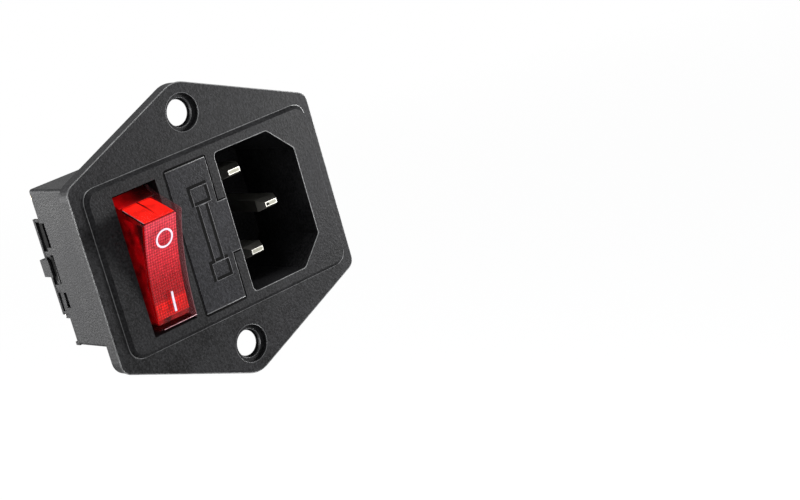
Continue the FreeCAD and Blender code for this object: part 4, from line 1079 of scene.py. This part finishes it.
    def build(self) -> None:
        """Builds the core, its panels of painted light, the skin, the axles and the marks."""
        inside = self.half_width - self.core_side
        red = Skin(LENS_CORE, Home.DIFFUSER, 50.0)
        core = self.block("rocker_core", self.core_inset, inside, self.core_edge, red)
        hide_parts("rocker", "rocker_diffuser")
        skin = self.block("rocker_skin", 0.0, self.half_width, self.skin_edge,
                          Skin(CLEAR_SKIN, Home.LENS, 50.0))
        self.hazy_sheen_side(skin)
        self.end_panel("rocker_end_left", -1.0)
        self.end_panel("rocker_end_right", 1.0)
        # the dotted face takes lens_face's painted light and shade, banded down it
        wide = inside - self.face_gap
        x, z = grid((-wide, wide), 9, self.face_z, 41)
        self.on_face("rocker_dotted_face", x, z, self.face_rise - self.core_inset,
                     self.face_thick, Skin(LENS_FACE, Home.DIFFUSER))
        self.side_details()
        self.top_glow()
        self.marks()
        self.axles(red)


@dataclass
class FuseSign:
    """The fuse symbol sunk in the drawer's face: two squares joined by a bar."""

    left: float = -3.6
    right: float = -0.2
    bar_left: float = -2.86
    bar_right: float = -1.0
    bar_half: float = 4.85
    middle: float = 0.4
    low: float = 4.95
    high: float = 7.85
    groove: tuple[Pair, ...] = ((-0.27, -0.05), (-0.27, 0.012), (0.0, 0.006), (0.27, 0.012),
                                (0.27, -0.05))
    edge_shift: Pair = (0.3, -0.3)
    edge_radius: float = 0.06

    def build(self) -> None:
        """Lays painted shade in the grooves and fine painted highlights along their lower right
        sides.
        """
        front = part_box("fuse_drawer")[0][1] / MM
        for name, left, right, low, high in (
                ("upper", self.left, self.right, self.low, self.high),
                ("lower", self.left, self.right, -self.high, -self.low),
                ("bar", self.bar_left, self.bar_right, -self.bar_half, self.bar_half)):
            ring = np.array([(left, low), (left, high), (right, high), (right, low)]
                            ) + [0.0, self.middle]
            # painted shade in each groove and a painted highlight along its lower right side
            carried("drawer_sign_groove_" + name, ring, self.groove, front,
                    Skin(PAINTED_SHADE, Home.DRAWER))
            carried("drawer_sign_edge_" + name, ring + self.edge_shift, bead(self.edge_radius),
                    front, Skin(DIM_HIGHLIGHT, Home.DRAWER))


@dataclass
class EdgeLines:
    """Fine painted highlight lines along the moulded edges of the flange, bezel and openings."""

    flange_half: Pair = (24.55, 15.2)
    flange_peak: float = 25.24
    bezel: Triple = (-22.25, 23.25, 14.2)
    recess: tuple[float, float, float, float] = (2.95, 18.75, 12.1, 4.5)
    drawer: Triple = (-6.95, 1.1, 12.1)
    tab: Pair = (2.95, 4.4)
    bezel_rise: float = 0.75
    gap_shift: float = 0.3
    gap_depth: float = 0.16
    gap_radius: float = 0.2
    line_depth: float = 0.04
    line_inset: float = 0.05

    def mouldings(self, face: float) -> None:
        """Carries a painted highlight bead round the flange, the bezel's foot and the inlet's edge.

        Args:
            face: y of the bezel's face in millimetres.
        """
        w, s = self.flange_half
        peak = self.flange_peak
        left, right, half = self.bezel
        a, b, h, cut = self.recess
        for name, corners, reach, steps, profile, lift in (
                ("flange_edge_line",
                 [(w, s), (0.0, peak), (-w, s), (-w, -s), (0.0, -peak), (w, -s)],
                 [1.35, 2.0, 1.35, 1.35, 2.0, 1.35], 9, bead(0.09, 0.6), self.bezel_rise),
                ("bezel_foot_line",
                 [(right, half), (left, half), (left, -half), (right, -half)],
                 2.5, 9, bead(0.12, 0.2), self.bezel_rise),
                ("inlet_edge_line",
                 [(a, -h), (b - cut, -h), (b, cut - h), (b, h - cut), (b - cut, h), (a, h)],
                 [1.0, 0.3, 0.3, 0.3, 0.3, 1.0], 6, bead(0.08, 0.5), 0.0)):
            carried(name, rounded_outline(corners, reach, steps), profile, face + lift,
                    Skin(EDGE_HIGHLIGHT, Home.CASE))

    def build(self) -> None:
        """Lays painted highlight beads along each moulded edge and rods along the drawer's, and
        painted shade rods over its gap.
        """
        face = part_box("housing")[0][1] / MM
        self.mouldings(face)
        left, right, tall = self.drawer
        out, tab = self.tab
        y, shift = face + self.gap_depth, self.gap_shift
        # painted shade: dark rods laid over the drawer's gap
        for label, x0, z0, x1, z1 in (
                ("left", left - shift, -tall, left - shift, tall),
                ("top", left, tall + shift, right, tall + shift),
                ("bottom", left, -tall - shift, right, -tall - shift)):
            rod("drawer_gap_shade_" + label, (x0, y, z0), (x1, y, z1), self.gap_radius,
                Skin(PAINTED_SHADE, Home.CASE))
        # painted highlight rods along the drawer's edges
        y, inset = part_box("fuse_drawer")[0][1] / MM + self.line_depth, self.line_inset
        for label, x0, z0, x1, z1, radius in (
                ("top", left, tall, right, tall, 0.1),
                ("bottom", left, -tall, right, -tall, 0.1),
                ("upper_side", right, tall, right, tab, 0.06),
                ("lower_side", right, -tab, right, -tall, 0.06),
                ("tab_top", right, tab, out, tab, 0.09),
                ("tab_bottom", right, -tab, out, -tab, 0.06)):
            rod("drawer_line_" + label, (x0 + inset, y, z0 - inset * np.sign(z0)),
                (x1 - inset, y, z1 - inset * np.sign(z1)), radius,
                Skin(EDGE_HIGHLIGHT, Home.DRAWER))


@dataclass
class PinTips:
    """The ends of the three pins: a darker, dull face inside a bright rim, and painted shade in the
    earth pin's fold.
    """

    half: Pair = (1.06, 0.27)
    corner: float = 0.24
    rise: float = 0.012
    thick: float = 0.05
    fold_shift: Pair = (-0.72, -0.04)
    fold_half: Pair = (0.30, 0.22)

    def face(self, name: str, middle: Array, half: Pair, skin: Skin) -> None:
        """A rounded patch in front of a pin's end, its outline drawn in towards its middle.

        Args:
            name: the piece's name.
            middle: the patch's middle in millimetres.
            half: its half width and half height.
            skin: what it is made of.
        """
        ring = rounded_outline([(a * half[0], b * half[1])
                                for a, b in ((1, 1), (-1, 1), (-1, -1), (1, -1))],
                               min(self.corner, 0.9 * min(half)), 6)
        flat = ring * np.linspace(0.02, 1.0, 3)[:, None, None]
        top = middle + np.stack([flat[..., 0], np.zeros(flat.shape[:2]), flat[..., 1]], axis=-1)
        plate(name, top, top + [0.0, self.thick, 0.0], skin, True)

    def build(self) -> None:
        """Lays a dull face on each pin and painted shade in the earth pin's fold."""
        for pin in ("line_pin", "neutral_pin", "earth_pin"):
            low, high = (np.asarray(corner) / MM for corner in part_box(pin))
            middle = (low + high) / 2
            middle[1] = low[1] - self.rise
            self.face(pin + "_face", middle, self.half, Skin(DARK_TIP, Home.PIN))
        # painted shade in the earth pin's fold
        shift_x, shift_z = self.fold_shift
        self.face("earth_pin_fold_shade", middle + [shift_x, -self.rise, shift_z], self.fold_half,
                  Skin(PAINTED_SHADE, Home.PIN))


@dataclass
class ScrewRims:
    """The painted highlight rims of each screw hole and the narrow ledge at its far end."""

    spacing: float = 40.0
    hole_radius: float = 2.42
    head_radius: float = 3.17
    flange_front: float = -2.6
    head_floor: float = -1.8
    rim_radius: float = 0.07
    ledge_y: float = -0.85
    ledge_inset: float = 0.12
    ledge: tuple[Pair, ...] = ((-0.17, 0.0), (-0.17, 0.12), (0.17, 0.12), (0.17, 0.0))

    def build(self) -> None:
        """Carries a painted highlight bead round both rims and a flat ring inside the far end."""
        lit = Skin(DIM_HIGHLIGHT, Home.CASE)
        black = Skin(BLACK_CASE, Home.CASE, 30.0)
        turn = full_turn(48)
        for end, z in (("upper", self.spacing / 2), ("lower", -self.spacing / 2)):
            for name, radius, profile, y, skin in (
                    ("screw_rim_", self.head_radius, bead(self.rim_radius, 0.5),
                     self.flange_front, lit),
                    ("screw_hole_rim_", self.hole_radius, bead(self.rim_radius), self.head_floor,
                     lit),
                    ("screw_ledge_", self.hole_radius - self.ledge_inset, self.ledge,
                     self.ledge_y, black)):
                circle = np.stack([radius * np.cos(turn), z + radius * np.sin(turn)], axis=1)
                carried(name + end, circle, profile, y, skin)


@dataclass
class LatchBars:
    """The rear cover's latch frame along the switch-side wall, with painted shade in its slots.

    near is where the slots start, far the bar behind them, and proud, bridge, shade and back
    how far each side lies inside the wall.
    """

    wall: float = -18.9
    near: float = 18.82
    far: Pair = (20.15, 20.75)
    slots: tuple[Pair, ...] = ((2.9, 8.0), (-3.0, 1.9), (-7.7, -4.4))
    end: Pair = (-8.3, 8.5)
    crown: float = 0.06
    proud: float = -0.02
    bridge: float = 0.03
    shade: float = 0.35
    back: Pair = (0.5, 0.55)
    lap: float = 0.1

    def patch(self, name: str, ys: Pair, zs: Pair, xs: Pair, skin: Skin) -> None:
        """A flat block with a crowned outer side: x = x0 + crown r^4, r = max(|u|, |v|).

        Args:
            name: the piece's name.
            ys: its range of depth in millimetres.
            zs: its range of height.
            xs: its outer and inner side, from the wall.
            skin: what it is made of.
        """
        u, v = grid((-1, 1), 5, (-1, 1), 9)
        y = sum(ys) / 2 + u * (ys[1] - ys[0]) / 2
        z = sum(zs) / 2 + v * (zs[1] - zs[0]) / 2
        outer, inner = self.wall + xs[0], self.wall + xs[1]
        crowned = outer + self.crown * np.maximum(np.abs(u), np.abs(v)) ** 4
        plate(name, np.stack([crowned, y, z], axis=-1),
              np.stack([np.full_like(y, inner), y, z], axis=-1), skin)

    def build(self) -> None:
        """Builds the bar, the bridges between the slots and painted shade on the slots' floors."""
        frame = Skin(BLACK_COVER, Home.COVER, 30.0)
        low, high = self.end
        back, deep = self.back
        self.patch("cover_latch_bar", self.far, self.end, (self.proud, back), frame)
        edges = [high, *(z for slot in self.slots for z in slot[::-1]), low]
        for index, (upper, lower) in enumerate(zip(edges[::2], edges[1::2])):
            self.patch("cover_latch_bridge_%d" % index, (self.near, self.far[0] + self.lap),
                       (lower, upper), (self.bridge, back), frame)
        # painted shade: a near-black plate on the slots' floors
        self.patch("cover_latch_shade", (self.near, self.far[0] + self.lap / 2),
                   (low + self.lap, high - self.lap), (self.shade, deep),
                   Skin(PAINTED_SHADE, Home.COVER))


@dataclass
class CadFinishes:
    """Gives every CAD node that shows its finish."""

    hidden: tuple[str, ...] = ("rocker", "rocker_diffuser")

    def build(self, nodes: dict[str, Object]) -> None:
        """Puts one material on each node.

        Args:
            nodes: the frame's nodes by name.
        """
        for name, node in nodes.items():
            if name not in self.hidden:
                material = material_of(CAD_FINISHES[name])
                node.data.materials.clear()
                node.data.materials.append(material)
                LOG.info("%s: %s", name, material.name)


@dataclass
class Lamp:
    """A round area lamp: where it stands and aims in metres, its size and its watts."""

    name: str
    place: Triple
    size: float
    power: float
    aim: Triple = (0.0, 0.0, 0.0)

    def build(self) -> None:
        """Puts the lamp in its place and turns it towards its aim."""
        data = bpy.data.lights.new(self.name, "AREA")
        data.shape, data.size, data.energy = "DISK", self.size, self.power
        made = add_object(self.name, data)
        made.location = self.place
        toward = Vector(self.aim) - Vector(self.place)
        made.rotation_euler = toward.to_track_quat("-Z", "Y").to_euler()


@dataclass
class Studio:
    """Camera, lamps, floor and a white surround."""

    lens: float = 92.93
    sensor: float = 36.0
    clip: Pair = (0.01, 50.0)
    place: Triple = (-0.18021, -0.27829, 0.06912)
    right: Triple = (0.7193012, -0.64346306, -0.26184169)
    down: Triple = (-0.35399442, -0.01518985, -0.93512417)
    ahead: Triple = (0.59774053, 0.76532644, -0.23870841)
    lamps: tuple[Lamp, ...] = (Lamp("top", (-0.05, -0.12, 0.75), 0.30, 3.6),
                               Lamp("side", (-0.55, 0.60, 0.00), 0.50, 18.0),
                               Lamp("right", (0.125, -0.090, -0.01), 0.06, 0.40,
                                    (0.02, 0.0, 0.0)))
    surround: float = 0.40
    surround_colour: Triple = (0.95, 0.97, 1.0)
    floor_drop: float = 0.09
    floor_half: float = 3.0
    floor_low: Triple = (0.90, 0.90, 0.90)
    floor_high: Triple = (0.94, 0.94, 0.94)
    white_share: float = 0.85
    white_from: Pair = (0.15, 0.8)

    def camera(self) -> None:
        """Sets the camera at the viewing angle."""
        data = bpy.data.cameras.new("camera")
        data.lens, data.sensor_width = self.lens, self.sensor
        data.clip_start, data.clip_end = self.clip
        cam = add_object("camera", data)
        turn = Matrix((self.right, [-v for v in self.down], [-v for v in self.ahead])).transposed()
        cam.matrix_world = Matrix.Translation(Vector(self.place)) @ turn.to_4x4()
        bpy.context.scene.camera = cam

    def white_where_seen(self, tree: Tree, kind: str, plain: Socket, surface: Node,
                         share: Value = 1.0) -> None:
        """Shows white to the camera and in reflections, and the plain shader otherwise.

        Args:
            tree: the material's or the world's tree.
            kind: the type of the node that shines white.
            plain: the shader that lights the part.
            surface: the output node that takes the mix.
            share: how much of what is seen is plain white.
        """
        path = add_node(tree, "LightPath", {}).outputs
        seen = math_node(tree, "MAXIMUM", path["Is Camera Ray"], math_node(
            tree, "MAXIMUM", path["Is Glossy Ray"], path["Is Transmission Ray"]))
        white = add_node(tree, kind, {"Strength": 1.0, "Color": (1.0, 1.0, 1.0, 1.0)})
        mix = add_node(tree, "MixShader", {
            "Fac": math_node(tree, "MULTIPLY", seen, share), 1: plain, 2: white.outputs[0]})
        feed(tree, surface, {"Surface": mix.outputs[0]})

    def world(self) -> None:
        """A soft grey light all round that shows as white."""
        world = bpy.data.worlds.new("surround")
        world.use_nodes = True
        bpy.context.scene.world = world
        tree = world.node_tree
        plain = tree.nodes["Background"]
        feed(tree, plain, {"Color": (*self.surround_colour, 1.0), "Strength": self.surround})
        self.white_where_seen(tree, "Background", plain.outputs[0], tree.nodes["World Output"])

    def floor(self, low: float) -> None:
        """A pale floor below the part, which keeps its shadow and turns white further out.

        Args:
            low: the part's lowest point in metres.
        """
        mesh = bpy.data.meshes.new("floor")
        half, level = self.floor_half, low - self.floor_drop
        mesh.from_pydata([(-half, -half, level), (half, -half, level), (half, half, level),
                          (-half, half, level)], [], [(0, 1, 2, 3)])
        material, tree, shader, vector = start_material("pale_floor")
        cloud = noise_node(tree, vector, 6.0, 2.0)
        feed(tree, shader, {"Roughness": 0.9, "Base Color": colour_between(
            tree, cloud, self.floor_low, self.floor_high)})
        far = add_node(tree, "VectorMath", {0: vector}, operation="LENGTH").outputs["Value"]
        share = straight(tree, stretched(tree, far, *self.white_from),
                         1.0 - self.white_share, self.white_share)
        self.white_where_seen(tree, "Emission", shader.outputs[0],
                              tree.nodes["Material Output"], share)
        mesh.materials.append(material)
        made = add_object("floor", mesh)
        made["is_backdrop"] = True

    def build(self, low: float) -> None:
        """Builds the whole set.

        Args:
            low: the part's lowest point in metres.
        """
        self.camera()
        self.world()
        self.floor(low)
        for lamp in self.lamps:
            lamp.build()
        bpy.context.scene.view_settings.view_transform = "Standard"


def main() -> None:
    """Builds the part's pieces in order and the set round them."""
    logging.basicConfig(level=logging.INFO, format="%(name)s %(message)s")
    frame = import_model()
    hinge = next(joint for joint in frame["record"]["behaviour"]["joints"]
                 if joint["name"] == "rocker_hinge")
    cad_low, cad_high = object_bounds()
    CadFinishes().build(frame["nodes"])
    pivot = tuple(value / MM for value in hinge["pos_m"][1:])
    for assembly in (Rocker(pivot), FuseSign(), EdgeLines(), PinTips(), ScrewRims(), LatchBars()):
        assembly.build()
    Studio().build(cad_low[2])


if __name__ == "__main__":
    main()
